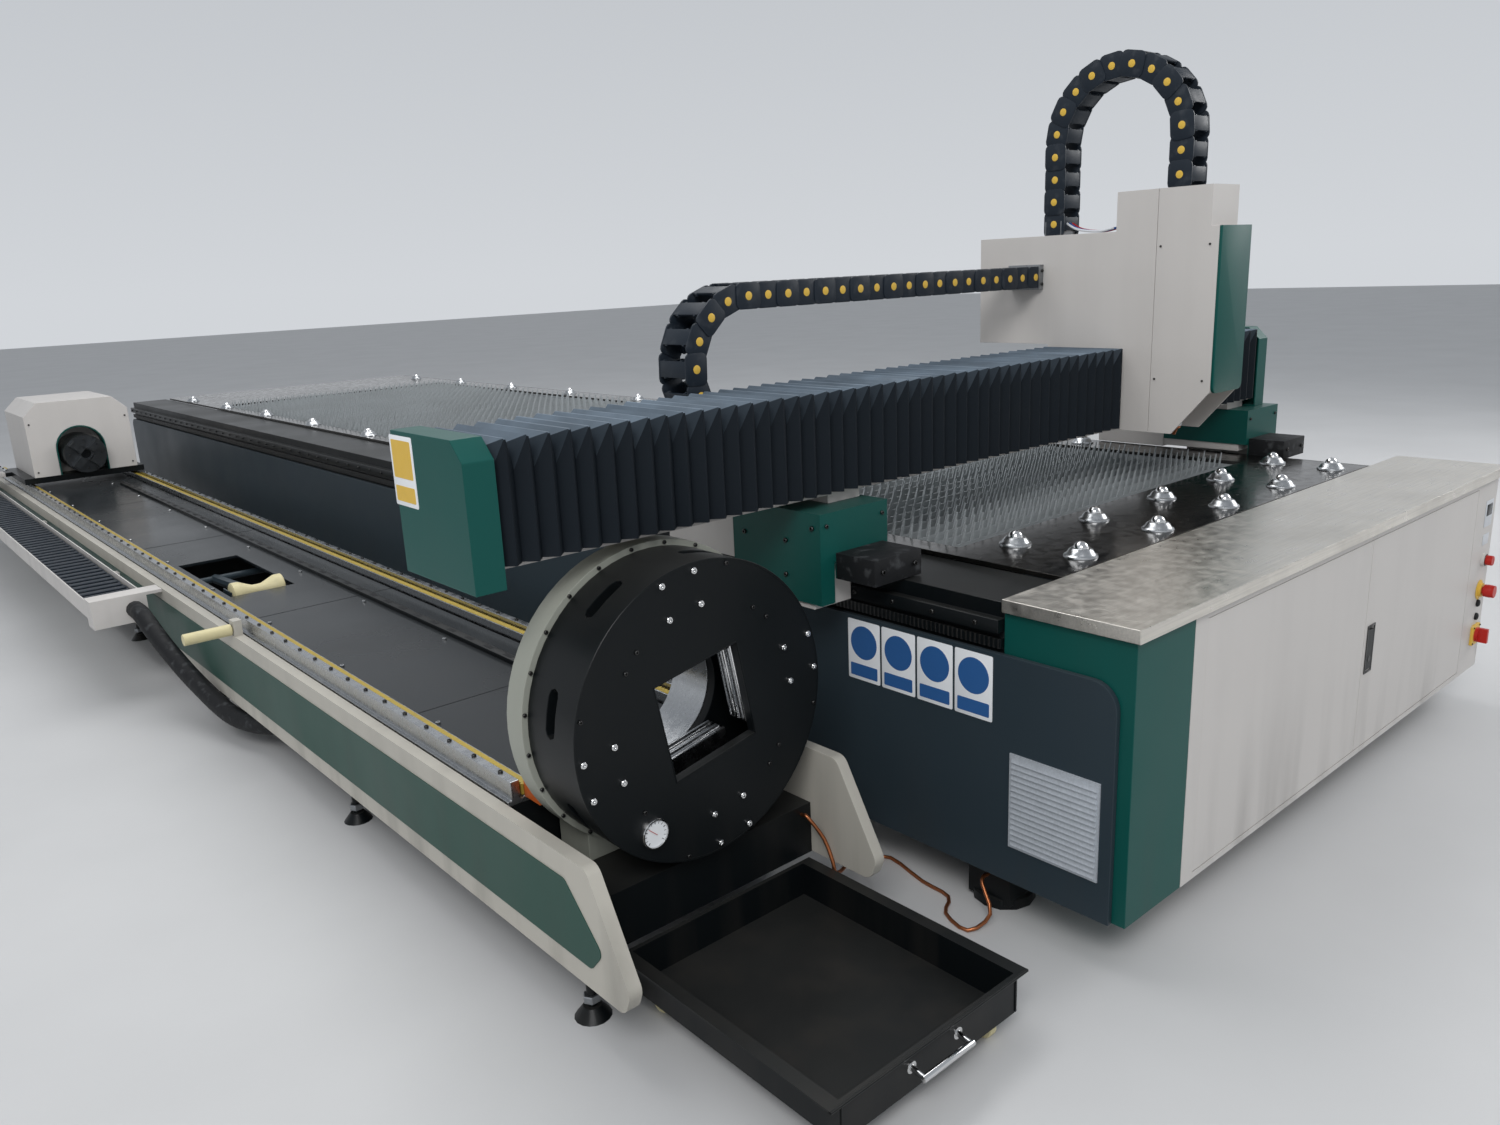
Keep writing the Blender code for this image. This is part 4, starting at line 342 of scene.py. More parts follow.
# Each kind of surface with its specular level, and its finishes: colour, roughness, wear and, for metals, the
# share of metal.
FINISHES = {
    (sprayed_paint, 0.22): {
        "green_paint": ("0c4c46", 0.36, 0.35),
        "white_paint": ("c8c4c0", 0.42, 0.35),
        "tube_panel_paint": ("b6b2a8", 0.42, 0.45),
        "slate_paint": ("2d383f", 0.34, 0.3),
        "black_paint": ("0c1012", 0.36, 0.35),
        "deck_paint": ("1b2024", 0.22, 0.3),
        "inset_paint": ("2c4c43", 0.42, 0.35),
        "cream_paint": ("9a9c92", 0.4, 0.4),
        "blue_mark": ("2f5c94", 0.35, 0.15),
        "white_mark": ("e4e6e8", 0.35, 0.15),
        "orange_paint": ("c9622b", 0.4, 0.3),
    },
    (brushed_metal, 0.5): {
        "stainless": ("e2ddd4", 0.3, 0.25, 1.0),
        "ground_steel": ("b4b6b8", 0.24, 0.06, 1.0),
        "chrome": ("dcdcdc", 0.08, 0.05, 1.0),
        "zinc": ("9a9da0", 0.42, 0.5, 1.0),
        "slat_steel": ("a6abad", 0.4, 0.3, 0.35),
        "deck_steel": ("625f5c", 0.16, 0.15, 1.0),
        "chuck_steel": ("55585b", 0.3, 0.1, 1.0),
        "dark_steel": ("4a4a4a", 0.35, 0.5, 1.0),
        "rack_steel": ("b59c3c", 0.4, 0.2, 0.4),
        "louvre_steel": ("b9bfc6", 0.42, 0.15, 0.3),
        "copper": ("b5714a", 0.38, 0.3, 1.0),
    },
    (coated_cloth, 0.12): {
        # For the cloth, wear also sets how much light is painted on what faces up
        "bellows_cloth": ("12181e", 0.6, 0.8),
    },
    (moulded_plastic, 0.25): {
        "chain_plastic": ("1d252e", 0.42, 0.2),
        "black_rubber": ("17181a", 0.6, 0.4),
        "cream_plastic": ("d0c69c", 0.4, 0.3),
        "yellow_plastic": ("d9b24a", 0.4, 0.1),
        "red_plastic": ("b3261e", 0.32, 0.1),
        "blue_plastic": ("2b4f8c", 0.4, 0.1),
        "pale_plastic": ("c9ccd0", 0.4, 0.15),
    },
}

# The CAD solids that each finish covers; a name that ends with a star stands for all that begin so
NODE_FINISHES = {
    "green_paint": "corner_column beam_cap_* carriage_cover_*",
    "white_paint": "cabinet cabinet_door_* gantry_beam gantry_carriage_* head_cover lift_cover tail_housing"
    " cable_tray",
    "tube_panel_paint": "tube_bed_panel_*",
    "inset_paint": "tube_bed_inset",
    "slate_paint": "bed_side_panel_* support_arm cutting_head",
    "black_paint": "bed_frame gantry_guide_* tube_bed_frame chuck_disc tail_base scrap_drawer door_handle",
    "deck_paint": "tube_bed_deck",
    "cream_paint": "chuck_housing",
    "stainless": "worktop",
    "deck_steel": "table_deck",
    "ground_steel": "tube_rail_* chuck_sleeve chuck_jaw_*",
    "chuck_steel": "tail_chuck",
    "louvre_steel": "vent_grille",
    "cream_plastic": "side_roller drawer_wheel_* support_roller",
    "red_plastic": "emergency_stop_button start_button main_switch_knob",
    "chain_plastic": "tray_energy_chain",
}
FINE_EDGES = {"table_deck", "vent_grille", "door_handle", "tube_bed_inset", "tail_chuck", "scrap_drawer"}


def surface_group(build):
    """The node group of a kind of surface, with colour, roughness and wear to set."""
    tree = bpy.data.node_groups.new(build.__name__, "ShaderNodeTree")
    for label, kind in (("Colour", "Color"), ("Roughness", "Float"), ("Wear", "Float")):
        tree.interface.new_socket(label, in_out="INPUT", socket_type="NodeSocket" + kind)
    for label, kind in (("Colour", "Color"), ("Roughness", "Float"), ("Normal", "Vector")):
        tree.interface.new_socket(label, in_out="OUTPUT", socket_type="NodeSocket" + kind)
    entry, leave = add_node(tree, "NodeGroupInput"), add_node(tree, "NodeGroupOutput")
    where = add_node(tree, "ShaderNodeTexCoord").outputs["Object"]
    given = [entry.outputs[label] for label in ("Colour", "Roughness", "Wear")]
    colour, rough, height, strength, distance = build(tree, where, *given)
    bump = add_node(tree, "ShaderNodeBump", {"Height": height, "Strength": strength, "Distance": distance})
    for label, value in (("Colour", colour), ("Roughness", rough), ("Normal", bump.outputs[0])):
        tree.links.new(value, leave.inputs[label])
    return tree


def make_finishes(wear):
    for (build, shine), finishes in FINISHES.items():
        group = surface_group(build)
        for name, (code, rough, worn, *metal) in finishes.items():
            made = bpy.data.materials.new("finish_" + name)
            made.use_nodes = True
            tree = made.node_tree
            shader = tree.nodes["Principled BSDF"]
            inputs = {"Colour": linear(code), "Roughness": rough, "Wear": min(1.0, worn * wear)}
            surface = add_node(tree, "ShaderNodeGroup", node_tree=group)
            for label, value in inputs.items():
                surface.inputs[label].default_value = value
            shader.inputs["Metallic"].default_value = metal[0] if metal else 0.0
            shader.inputs["Specular IOR Level"].default_value = shine
            for output, label in zip(surface.outputs, ("Base Color", "Roughness", "Normal")):
                tree.links.new(output, shader.inputs[label])
            made.diffuse_color = linear(code)


def smooth_group():
    """Shades a solid smooth, apart from its edges sharper than the angle."""
    tree = bpy.data.node_groups.new("smooth_by_angle", "GeometryNodeTree")
    for way in ("INPUT", "OUTPUT"):
        tree.interface.new_socket("Geometry", in_out=way, socket_type="NodeSocketGeometry")
    entry, leave = add_node(tree, "NodeGroupInput"), add_node(tree, "NodeGroupOutput")
    angle = add_node(tree, "GeometryNodeInputMeshEdgeAngle").outputs[0]
    sharp = add_node(tree, "FunctionNodeCompare", {0: angle, 1: math.radians(38)}, operation="GREATER_THAN")
    faces = add_node(tree, "GeometryNodeSetShadeSmooth", {"Geometry": entry.outputs[0], "Shade Smooth": True})
    inputs = {"Geometry": faces.outputs[0], "Selection": sharp.outputs[0], "Shade Smooth": False}
    edges = add_node(tree, "GeometryNodeSetShadeSmooth", inputs, domain="EDGE")
    tree.links.new(edges.outputs[0], leave.inputs[0])
    return tree


def dress_nodes(edge_width):
    smooth = smooth_group()
    for finish, names in NODE_FINISHES.items():
        names = names.split()
        for name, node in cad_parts.items():
            if not any(fnmatch.fnmatchcase(name, pattern) for pattern in names):
                continue
            for slot in node.material_slots:
                slot.link = "OBJECT"
                slot.material = finish_named(finish)
            node.modifiers.new("weld", "WELD").merge_threshold = 0.00002
            flat = node.modifiers.new("flat", "DECIMATE")
            flat.decimate_type = "DISSOLVE"
            flat.angle_limit = math.radians(1)
            bevel = node.modifiers.new("edge", "BEVEL")
            bevel.width = edge_width * (0.3 if name in FINE_EDGES else 1.0)
            bevel.segments = 2
            bevel.limit_method = "ANGLE"
            bevel.angle_limit = math.radians(40)
            node.modifiers.new("smooth", "NODES").node_group = smooth
            node.modifiers.new("shade", "WEIGHTED_NORMAL").keep_sharp = True


# Cords


def curve_along(name, route, radius, finish):
    """A round cord through the route, as a curve."""
    curve = bpy.data.curves.new(name, "CURVE")
    curve.dimensions = "3D"
    curve.bevel_depth = radius
    curve.bevel_resolution = 4
    curve.use_fill_caps = True
    spline = curve.splines.new("POLY")
    spline.points.add(len(route) - 1)
    for point, place in zip(spline.points, route):
        point.co = (*(Vector(place) + DATUM), 1.0)
    spline.use_smooth = True
    curve.materials.append(finish_named(finish))
    piece = bpy.data.objects.new(name, curve)
    bpy.context.scene.collection.objects.link(piece)
    return piece


def lay_cord(name, route, radius, finish, body, node, **facts):
    piece = curve_along(name, route, radius, finish)
    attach(piece, body)
    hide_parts(node)


def make_braid():
    front, leg_x, leg_y, floor = 0.667, 0.0397, 0.376, 0.0055
    corners = [
        (TUBE_RIGHT - 0.03, front - 0.008, 0.252),
        (TUBE_RIGHT - 0.03, front - 0.02, 0.252),
        (TUBE_RIGHT - 0.008, front - 0.05, 0.200),
        (TUBE_RIGHT - 0.006, front - 0.075, 0.150),
        (TUBE_RIGHT - 0.004, front - 0.08, 0.125),
        (TUBE_RIGHT + 0.025, front - 0.07, 0.110),
        (TUBE_RIGHT + 0.10, front - 0.04, 0.100),
        (TUBE_RIGHT + 0.18, front + 0.02, 0.030),
        (TUBE_RIGHT + 0.245, front + 0.04, floor),
        (leg_x - 0.01, front + 0.01, floor),
        (leg_x - 0.04, leg_y + 0.17, floor),
        (leg_x - 0.05, leg_y + 0.08, floor),
        (leg_x - 0.11, leg_y + 0.04, floor),
        (leg_x - 0.13, leg_y - 0.04, floor),
        (leg_x - 0.06, leg_y - 0.05, 0.020),
        (leg_x - 0.035, leg_y - 0.008, 0.070),
        (leg_x - 0.02, leg_y, 0.080),
        (leg_x - 0.008, leg_y, 0.080),
    ]
    start = (TUBE_RIGHT - 0.03, front - 0.0003, 0.252)
    route = [start, *smooth_route(corners, 3), (leg_x, leg_y, 0.080)]
    lay_cord("braid", route, 0.0045, "copper", "machine", "earthing_braid", stiffness="limp", lay="loose")


def make_hose():
    panel, near, side, exit_z, run, drop = TUBE_LEFT - 0.03, 3.51, -1.03, 0.35, 1.08, 0.18
    lowest = 0.16 - 2 * 0.032 - 0.0003
    corners = [
        (side, near - run * 0.01, exit_z),
        (side, near - run * 0.046, exit_z),
        (side, near - run * 0.11, exit_z - drop * 0.05),
        (side + drop * 0.13, near - run * 0.26, exit_z - drop * 0.55),
        (panel - drop * 0.25, near - run * 0.46, exit_z - drop * 1.05),
        (panel - drop * 0.03, near - run * 0.69, lowest),
        (panel + drop * 0.33, near - run * 0.88, lowest + drop * 0.05),
        (panel + drop * 0.89, near - run, lowest + drop * 0.08),
    ]
    route = [(side, near - 0.0003, exit_z), *smooth_route(corners, 6)]
    lay_cord("hose", route, 0.032, "black_rubber", "machine", "supply_hose", stiffness="stiff", lay="hanging")


# Bellows and chains


def make_bellows(name, start, end, held_at_head, node, pitch, depth):
    """Ridges with a square corner and valleys with the corner cut off, so flat diamonds lie between them."""
    low, high, front, rear, fold = 0.967, 1.208, 0.757, 1.03, 0.043
    hem = 0.0014
    pleats = max(1, round((end - start) / pitch))
    chance = random.Random(len(name))
    stations = []
    for index in range(pleats + 1):
        middle = start + (end - start) * index / pleats
        if 0 < index < pleats:
            middle += chance.uniform(-0.0025, 0.0025)
        stations.append((middle, False))
        if index < pleats:
            ridge = start + (end - start) * (index + 0.5) / pleats + chance.uniform(-0.002, 0.002)
            stations += [(ridge - hem, True), (ridge + hem, True)]
    solid = bmesh.new()
    rings = []
    for x, ridge in stations:
        drop = chance.uniform(0.0, 0.0015)
        if ridge:
            corner = (front, high - hem - drop)
            section = [(front, low), corner, corner, (front + hem, high - drop)]
            section += [(rear, high - drop), (rear, low)]
        else:
            back = front + depth
            section = [(back, low), (back, high - fold - depth - 0.008), (back, high - fold - depth)]
            section += [(front + fold + depth, high - depth), (rear, high - depth), (rear, low)]
        rings.append([solid.verts.new((x, y, z)) for y, z in section])
    for before, after in zip(rings, rings[1:]):
        for index in range(len(before) - 1):
            solid.faces.new((before[index], before[index + 1], after[index + 1], after[index]))
    bmesh.ops.remove_doubles(solid, verts=solid.verts, dist=0.00005)
    bmesh.ops.solidify(solid, geom=solid.faces, thickness=0.0012)
    piece = Shape().add(solid).make(name, None, ["bellows_cloth"], [node], 25, "coated_fabric")
    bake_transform(piece)


def path_point(segments, distance):
    """Centre and heading at a distance along segments of (start, heading, length, radius or 0)."""
    for start, heading, length, radius in segments:
        if distance <= length + 1e-9:
            break
        distance -= length
    ahead = Vector((math.cos(heading), math.sin(heading)))
    left = Vector((-ahead.y, ahead.x))
    if not radius:
        return Vector(start) + ahead * distance, heading
    turn = distance / radius
    centre = Vector(start) + left * radius + (ahead * math.sin(turn) - left * math.cos(turn)) * radius
    return centre, heading + turn


def link(shape, place, pitch, height, width, odd):
    """A link along X, its height on Y and its width on Z: two side plates, bars across and a dot a side."""
    plate = 0.006
    inset = 0.0022 if odd else 0.0
    half = height / 2
    ends = rounded(rectangle(-pitch * 0.59, -half, pitch * 0.59, half), half * 0.45, 3)
    for side in (-1, 1):
        outer = side * (width / 2 - inset)
        inner = outer - side * plate
        shape.prism("Z", min(inner, outer), max(inner, outer), ends, bevel=0.0012, turn=place)
        dot = [(0.0, 0.0108), (0.0006, 0.0108), (0.0014, 0.0085), (0.0014, 0.0)]
        shape.turned((0, 0, outer), (0, 0, side), dot, 14, slot=1, turn=place)
    span = width / 2 - plate * 0.8
    for level in (-1, 1):
        near, far = sorted((level * (half - 0.0005), level * (half - 0.007)))
        shape.box((-pitch * 0.3, near, -span), (pitch * 0.3, far, span), bevel=0.0015, turn=place)
        lip = level * (half - 0.0015)
        for across in (-0.3, 0.3):
            low = (-pitch * 0.34, min(lip, lip - level * 0.008), across * width - 0.004)
            high = (pitch * 0.34, max(lip, lip - level * 0.008), across * width + 0.004)
            shape.box(low, high, bevel=0.001, turn=place)


def chain(name, body, axis, middle, segments, pitch, height, width, node=None, first=0.0, last=None):
    total = sum(segment[2] for segment in segments)
    links = round(total / pitch)
    step = total / links
    shape = Shape()
    for index in range(links):
        distance = step * (index + 0.5)
        if distance < first or (last and distance >= last):
            continue
        centre, heading = path_point(segments, distance)
        flat = Matrix.Rotation(heading, 4, "Z")
        place = Matrix.Translation((*centre, -middle if axis == "Y" else middle)) @ flat
        link(shape, PLANES[axis] @ place, step, height - 0.002, width, index % 2)
    nodes = [node] if node else ()
    return shape.make(name, body, ["chain_plastic", "yellow_plastic"], nodes, 35, "chain_plastic")


def make_chains():
    bend_x, high, radius = -0.045, 1.05 + 0.0003 + 0.0335 + 0.34, 0.17
    run = 1.1997 - bend_x
    segments = [
        ((1.1997, high), math.pi, run, 0.0),
        ((bend_x, high), math.pi, math.pi * radius, radius),
        ((bend_x, high - 2 * radius), 0.0, 0.52 - bend_x, 0.0),
    ]
    middle = 1.06 + 0.055
    size = (LINK_PITCH, 0.067, 0.11)
    upper = chain("beam_chain_run", None, "Y", middle, segments, *size, "beam_energy_chain", last=run)
    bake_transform(upper)
    chain("beam_chain_bend", "gantry", "Y", middle, segments, *size, first=run)
    rear, radius, foot, arch = 1.0275, 0.205, 1.6603, 1.8075
    front = rear - 2 * radius
    segments = [
        ((front, foot), math.pi / 2, arch - foot, 0.0),
        ((front, arch), math.pi / 2, math.pi * radius, -radius),
        ((rear, arch), -math.pi / 2, arch - 1.5483, 0.0),
    ]
    size = (LINK_PITCH, 0.0737, 0.09)
    piece = chain("head_chain", None, "X", 1.206 + 0.045, segments, *size, "head_energy_chain")
    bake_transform(piece)
    low = 0.33 + 0.005 + 0.0003 + 0.025
    segments = [((3.61, low), 0.0, 3.35, 0.0)]
    size = (LINK_PITCH, 0.05, 0.17)
    chain("tray_chain", "machine", "X", -1.08, segments, *size, "tray_energy_chain")


def make_chain_ends():
    """Brackets, screws and wires where the chains are fixed."""
    shape = Shape()
    for y in (1.0, 1.055):
        shape.box((1.208, y, 1.5484), (1.285, y + 0.003, 1.59), bevel=0.0006)
        for x in (1.222, 1.271):
            shape.screw((x, y, 1.575), FRONT, 0.004, slot=1)
    shape.box((1.18, 1.055, 1.385), (1.1995, 1.175, 1.462), bevel=0.001)
    for z in (1.402, 1.443):
        shape.screw((1.19, 1.055, z), FRONT, 0.005, slot=1)
    shape.make("chain_brackets", "head", ["zinc", "dark_steel"])
    for index, finish in enumerate(("pale_plastic", "blue_plastic", "red_plastic")):
        x = 1.225 + 0.015 * index
        corners = [(x, 1.03, 1.60), (x + 0.004, 1.0, 1.585), (x - 0.004, 0.95, 1.562)]
        corners += [(x, 0.88, 1.553), (x, 0.83, 1.56)]
        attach(curve_along(f"chain_wire_{index}", smooth_route(corners, 5), 0.0035, finish), "head")


# Table


def make_slats(tooth, depth):
    """Toothed slats in a rim of four strips."""
    left, right, front, rear = 0.287, 1.805, 0.664, 6.664
    foot, tip, rim_low, rim_top, edge, clear = 0.665, 0.812, 0.6578, 0.7702, 0.012, 0.006
    shape = Shape()
    teeth = round((right - left - 2 * clear) / tooth)
    step = (right - left - 2 * clear) / teeth
    outline = [(right - clear, foot), (left + clear, foot)]
    for index in range(teeth):
        x = left + clear + step * index
        outline += [(x + step * 0.08, tip - depth), (x + step * 0.56, tip), (x + step * 0.62, tip)]
        outline += [(x + step * 0.44, tip - depth)]
    chance = random.Random(5)
    for slat in range(1, 100):
        y = front + 0.06 * slat + chance.uniform(-0.0012, 0.0012)
        shift = chance.uniform(-0.004, 0.004)
        shape.prism("Y", y - 0.0015, y + 0.0015, [(x + shift, z) for x, z in outline])
    for x0, x1, y0, y1 in (
        (left - edge, right + edge, front - edge, front),
        (left - edge, right + edge, rear, rear + edge),
        (left - edge, left, front, rear),
        (right, right + edge, front, rear),
    ):
        shape.box((x0, y0, rim_low), (x1, y1, rim_top), bevel=0.001)
    shape.make("slats", "machine", ["slat_steel"], ["slat_table"], slot="galvanised_steel")


def make_ball_units():
    """Ball transfer units: a chromed ball in a pressed cup with a flat flange."""
    places = [(0.40 + 0.36 * index, y) for y in (0.385, 0.574) for index in range(5)]
    places += [(x, 7.204 - 0.735 * index) for x in (0.2554, 1.88) for index in range(9)]
    shape = Shape()
    lift, radius = 0.0185, 0.019
    angles = [math.pi * step / 14 for step in range(1, 9)]
    ball = [(lift + radius, 0.0)] + [(lift + radius * math.cos(a), radius * math.sin(a)) for a in angles]
    cup = [(0.0212, 0.0187), (0.0216, 0.0225), (0.0196, 0.0255), (0.0165, 0.0292), (0.0085, 0.0345)]
    cup += [(0.0066, 0.0362), (0.0045, 0.0405), (0.0015, 0.0415), (0.0002, 0.0415)]
    for x, y in places:
        base = Vector((x, y, 0.782))
        shape.turned(base, UP, ball, 24)
        shape.turned(base, UP, cup, 28, slot=1)
    shape.make("ball_units", "machine", ["chrome", "ground_steel"], angle=40, slot="ground_steel")


# Flat bed


def rack_outline(place, back, valley, tip, start, end):
    """A toothed rack seen along Z; place gives the x of a distance from the bed's face."""
    outline = [(place(back), start), (place(back), end)]
    for index in reversed(range(int((end - start) / RACK_PITCH))):
        for reach, share in ((valley, 0.85), (tip, 0.65), (tip, 0.35), (valley, 0.15)):
            outline.append((place(reach), start + RACK_PITCH * (index + share)))
    return outline


def bed_side(side):
    """Gives the x of a distance from the left face, mirrored for the right side."""
    return (lambda x: BED_RIGHT - x) if side else (lambda x: x)


def make_guides():
    """Ground rails with their bolts and the toothed racks on the outer faces of both guide beams."""
    shape = Shape()
    start, end = 0.3165, 7.739
    rail_face = -0.0202
    for side in (0, 1):
        place = bed_side(side)
        low, high = sorted((place(rail_face), place(0.0)))
        shape.box((low, start, 0.7045), (high, end, 0.7355), bevel=0.0025)
        outline = rack_outline(place, 0.0, -0.0055, -0.0105, start, end)
        shape.prism("Z", 0.6676, 0.6904, outline if side else outline[::-1], slot=1)
        for index in range(62):
            y = start + 0.06 + BOLT_PITCH * index
            shape.screw((place(rail_face), y, 0.72), (LEFT, RIGHT)[side], 0.0055, slot=2)
    finishes = ["black_paint", "dark_steel", "dark_steel"]
    shape.make("guide_rails", "machine", finishes, angle=30, slot="black_paint")


def make_cabinet_details():
    """Frame of the recessed lever and the boss that the lever turns on."""
    shape = Shape()
    left, right, low, high = 1.187, 1.224, 0.362, 0.487
    rim, front = 0.006, -0.0025
    for x0, x1, z0, z1 in (
        (left - rim, left, low - rim, high + rim),
        (right, right + rim, low - rim, high + rim),
        (left, right, low - rim, low),
        (left, right, high, high + rim),
    ):
        shape.box((x0, front, z0), (x1, 0.0, z1), bevel=0.0008)
    boss = [(0, 0.009), (0.0012, 0.008), (0.0012, 0)]
    shape.turned((left + 0.0185, -0.0022, 0.395), FRONT, boss, 20)
    shape.make("handle_frame", "door_right", ["dark_steel"], slot="black_paint")


def make_controls():
    """The column of controls: bare plates, a screen, collars, two lamps and the main switch plate."""
    x = 2.10
    stop_z, start_z, switch_z, plate_face = 0.39, 0.49, 0.24, -0.0086
    shape = Shape()
    for half, face, back, low, high, slot, bevel in (
        (0.033, -0.002, 0.0, 0.60, 0.685, 0, 0.0006),
        (0.024, -0.0028, -0.0018, 0.635, 0.672, 1, 0.0004),
        (0.026, -0.0016, 0.0, 0.540, 0.575, 0, 0.0006),
    ):
        shape.box((x - half, face, low), (x + half, back, high), slot=slot, bevel=bevel)
    disc = [(0.0, 0.032), (0.002, 0.032), (0.003, 0.030), (0.003, 0.0225), (0.0104, 0.0225), (0.0104, 0.0)]
    collar = [(0.0, 0.0205), (0.0085, 0.0205), (0.0108, 0.019), (0.0108, 0.0)]
    lamp = [(0.0, 0.012), (0.004, 0.012), (0.007, 0.010), (0.0085, 0.006), (0.009, 0.0)]
    shape.turned((x, -0.0005, stop_z), FRONT, disc, 32, slot=2)
    shape.turned((x, 0.0, start_z), FRONT, collar, 28, slot=3)
    for z in (0.345, 0.30):
        shape.turned((x, 0.0, z), FRONT, lamp, 24, slot=4)
    plate = rectangle(x - 0.0331, 0.2069, x + 0.0331, 0.2731)
    shape.prism("Y", plate_face, -0.0005, rounded(plate, 0.004), slot=2, bevel=0.0006)
    for dx in (-0.027, 0.027):
        for dz in (-0.027, 0.027):
            shape.screw((x + dx, plate_face, switch_z + dz), FRONT, 0.003, slot=3)
    finishes = ["pale_plastic", "deck_paint", "yellow_plastic", "dark_steel", "black_rubber"]
    shape.make("control_plates", "machine", finishes)
    shape = Shape()
    cap = [(0.0008, 0.0128), (0.006, 0.0128), (0.006, 0.0204), (0.009, 0.0206)]
    cap += [(0.019, 0.0206), (0.0255, 0.0185), (0.0282, 0.012), (0.0285, 0.0)]
    shape.turned((x, -0.0165, stop_z), FRONT, cap, 36)
    shape.make("stop_cap", "stop", ["red_plastic"], slot="red_plastic")


def make_signs():
    """A strip of four plain plates, each with a blue disc over a blue bar."""
    shape = Shape()
    face, width, pitch = -0.0155, 0.104, 0.1105
    disc = [(0, 0.043), (0.0006, 0.0425), (0.0006, 0)]
    for index in range(4):
        y = 0.331 + pitch * index
        plate = rounded(rectangle(y, 0.494, y + width, 0.648), 0.004)
        shape.prism("X", face - 0.0012, face + 0.0003, plate, bevel=0.0004)
        shape.turned((face - 0.001, y + width / 2, 0.592), LEFT, disc, 40, slot=1)
        bar = rounded(rectangle(y + 0.008, 0.503, y + width - 0.008, 0.535), 0.003)
        shape.prism("X", face - 0.0017, face - 0.001, bar, slot=1)
    shape.make("plate_strip", "machine", ["white_mark", "blue_mark"])


# Tube bed


def make_tube_rails():
    """Racks and rail bolts on both sides, and the strip at the front end of the left rail."""
    shape = Shape()
    start, end = 0.931, 7.679
    for edge, sign in ((TUBE_LEFT, 1), (TUBE_RIGHT, -1)):
        outline = rack_outline(lambda x: edge + sign * x, 0.062, 0.0455, 0.041, start, end)
        shape.prism("Z", 0.416, 0.4404, outline, slot=1)
        for index in range(56):
            y = start + 0.06 + BOLT_PITCH * index
            shape.screw((edge + sign * 0.025, y, 0.4549), UP, 0.0055, slot=2)
    shape.box((-0.854, 0.866, 0.4126), (-0.834, 0.9295, 0.4575), slot=3, bevel=0.0015)
    finishes = ["ground_steel", "rack_steel", "dark_steel", "orange_paint"]
    shape.make("tube_rail_details", "machine", finishes)


def make_deck_details():
    """Seams, slotted duct and screws of the tube bed's deck."""
    shape = Shape()
    top, duct_top = 0.4123, 0.4263
    for y in (1.555, 2.788, 4.30, 5.60):
        shape.box((-0.826, y - 0.0012, top - 0.001), (-0.331, y + 0.0012, top + 0.0006), slot=1)
    shape.box((-0.447, 1.30, top - 0.001), (-0.419, 6.35, duct_top), bevel=0.0015)
    for index in range(42):
        y = 1.36 + 0.12 * index
        shape.box((-0.4395, y, duct_top - 0.0005), (-0.4265, y + 0.045, duct_top + 0.0006), slot=1)
    for index in range(9):
        for x in (-0.80, -0.475):
            shape.screw((x, 1.45 + 0.62 * index, top), UP, 0.0065, slot=2)
    shape.make("deck_details", "machine", ["black_paint", "black_rubber", "chrome"])


def make_foot_nuts():
    """The nuts above and below on the six levelling feet of each side."""
    shape = Shape()
    nut = [(0.0, 0.0175), (0.002, 0.0195), (0.015, 0.0195), (0.017, 0.0175)]
    for index in range(6):
        for side, x in enumerate((TUBE_LEFT + 0.03, TUBE_RIGHT - 0.03)):
            y = max(0.70 + 1.22 * index, 1.312 if side else 0.0)
            frame_low = 0.143 if y < 0.9 else 0.158
            for z in (frame_low - 0.018, 0.034):
                shape.turned((x, y, z), UP, nut, 6)
    shape.make("foot_nuts", "machine", ["zinc"])


def make_chuck_details():
    """Bright edge ring, band, screws of the jaw blocks and the window's frame on the disc."""
    shape = Shape()
    centre = (TUBE_X, CHUCK_FRONT, TUBE_Z)
    ring = [(-0.0008, 0.3185), (-0.0008, 0.3215), (0.0004, 0.3226), (0.003, 0.3226), (0.003, 0.3185)]
    shape.turned(centre, REAR, [*ring, ring[0]], 96)
    band = [(0.082, 0.268), (0.082, 0.290), (0.092, 0.290), (0.092, 0.268)]
    shape.turned(centre, REAR, [*band, band[0]], 72, slot=1)
    block = [(out, across, 0.0072, 1) for out in (0.230, 0.303) for across in (-0.041, 0.041)]
    small = [(out, across, 0.0045, 2) for out, across in ((0.165, -0.17), (0.20, 0.13), (0.285, -0.125))]
    for index in range(4):
        for out, across, radius, slot in block + small:
            place = (TUBE_X + out, CHUCK_FRONT, TUBE_Z + across)
            shape.screw(place, FRONT, radius, turn=window_side(index), slot=slot)
    for index in range(4):
        low = (TUBE_X + 0.1095, CHUCK_FRONT - 0.0010, TUBE_Z - 0.1125)
        high = (TUBE_X + 0.1125, CHUCK_FRONT + 0.004, TUBE_Z + 0.1125)
        shape.box(low, high, turn=window_side(index), bevel=0.0008)
    shape.make("chuck_details", "chuck", ["black_paint", "chrome", "dark_steel"])


def make_jaw_rods():
    """Four rods on each jaw, within the jaw's own layer so that the pairs pass each other."""
    reach, half, radius, pitch = 0.1172, 0.0935, 0.0056, 0.0135
    for index, side in enumerate(("right", "top", "left", "bottom")):
        shape = Shape()
        first_row = (0.6645, 0.7245)[index % 2]
        for row in range(4):
            y = first_row + pitch * row
            low, high = (TUBE_X + reach, y, TUBE_Z - half), (TUBE_X + reach, y, TUBE_Z + half)
            shape.rod(low, high, radius, 14, turn=window_side(index), bevel=0.0006)
        shape.make(f"jaw_rods_{side}", f"jaw_{side}", ["chrome"])


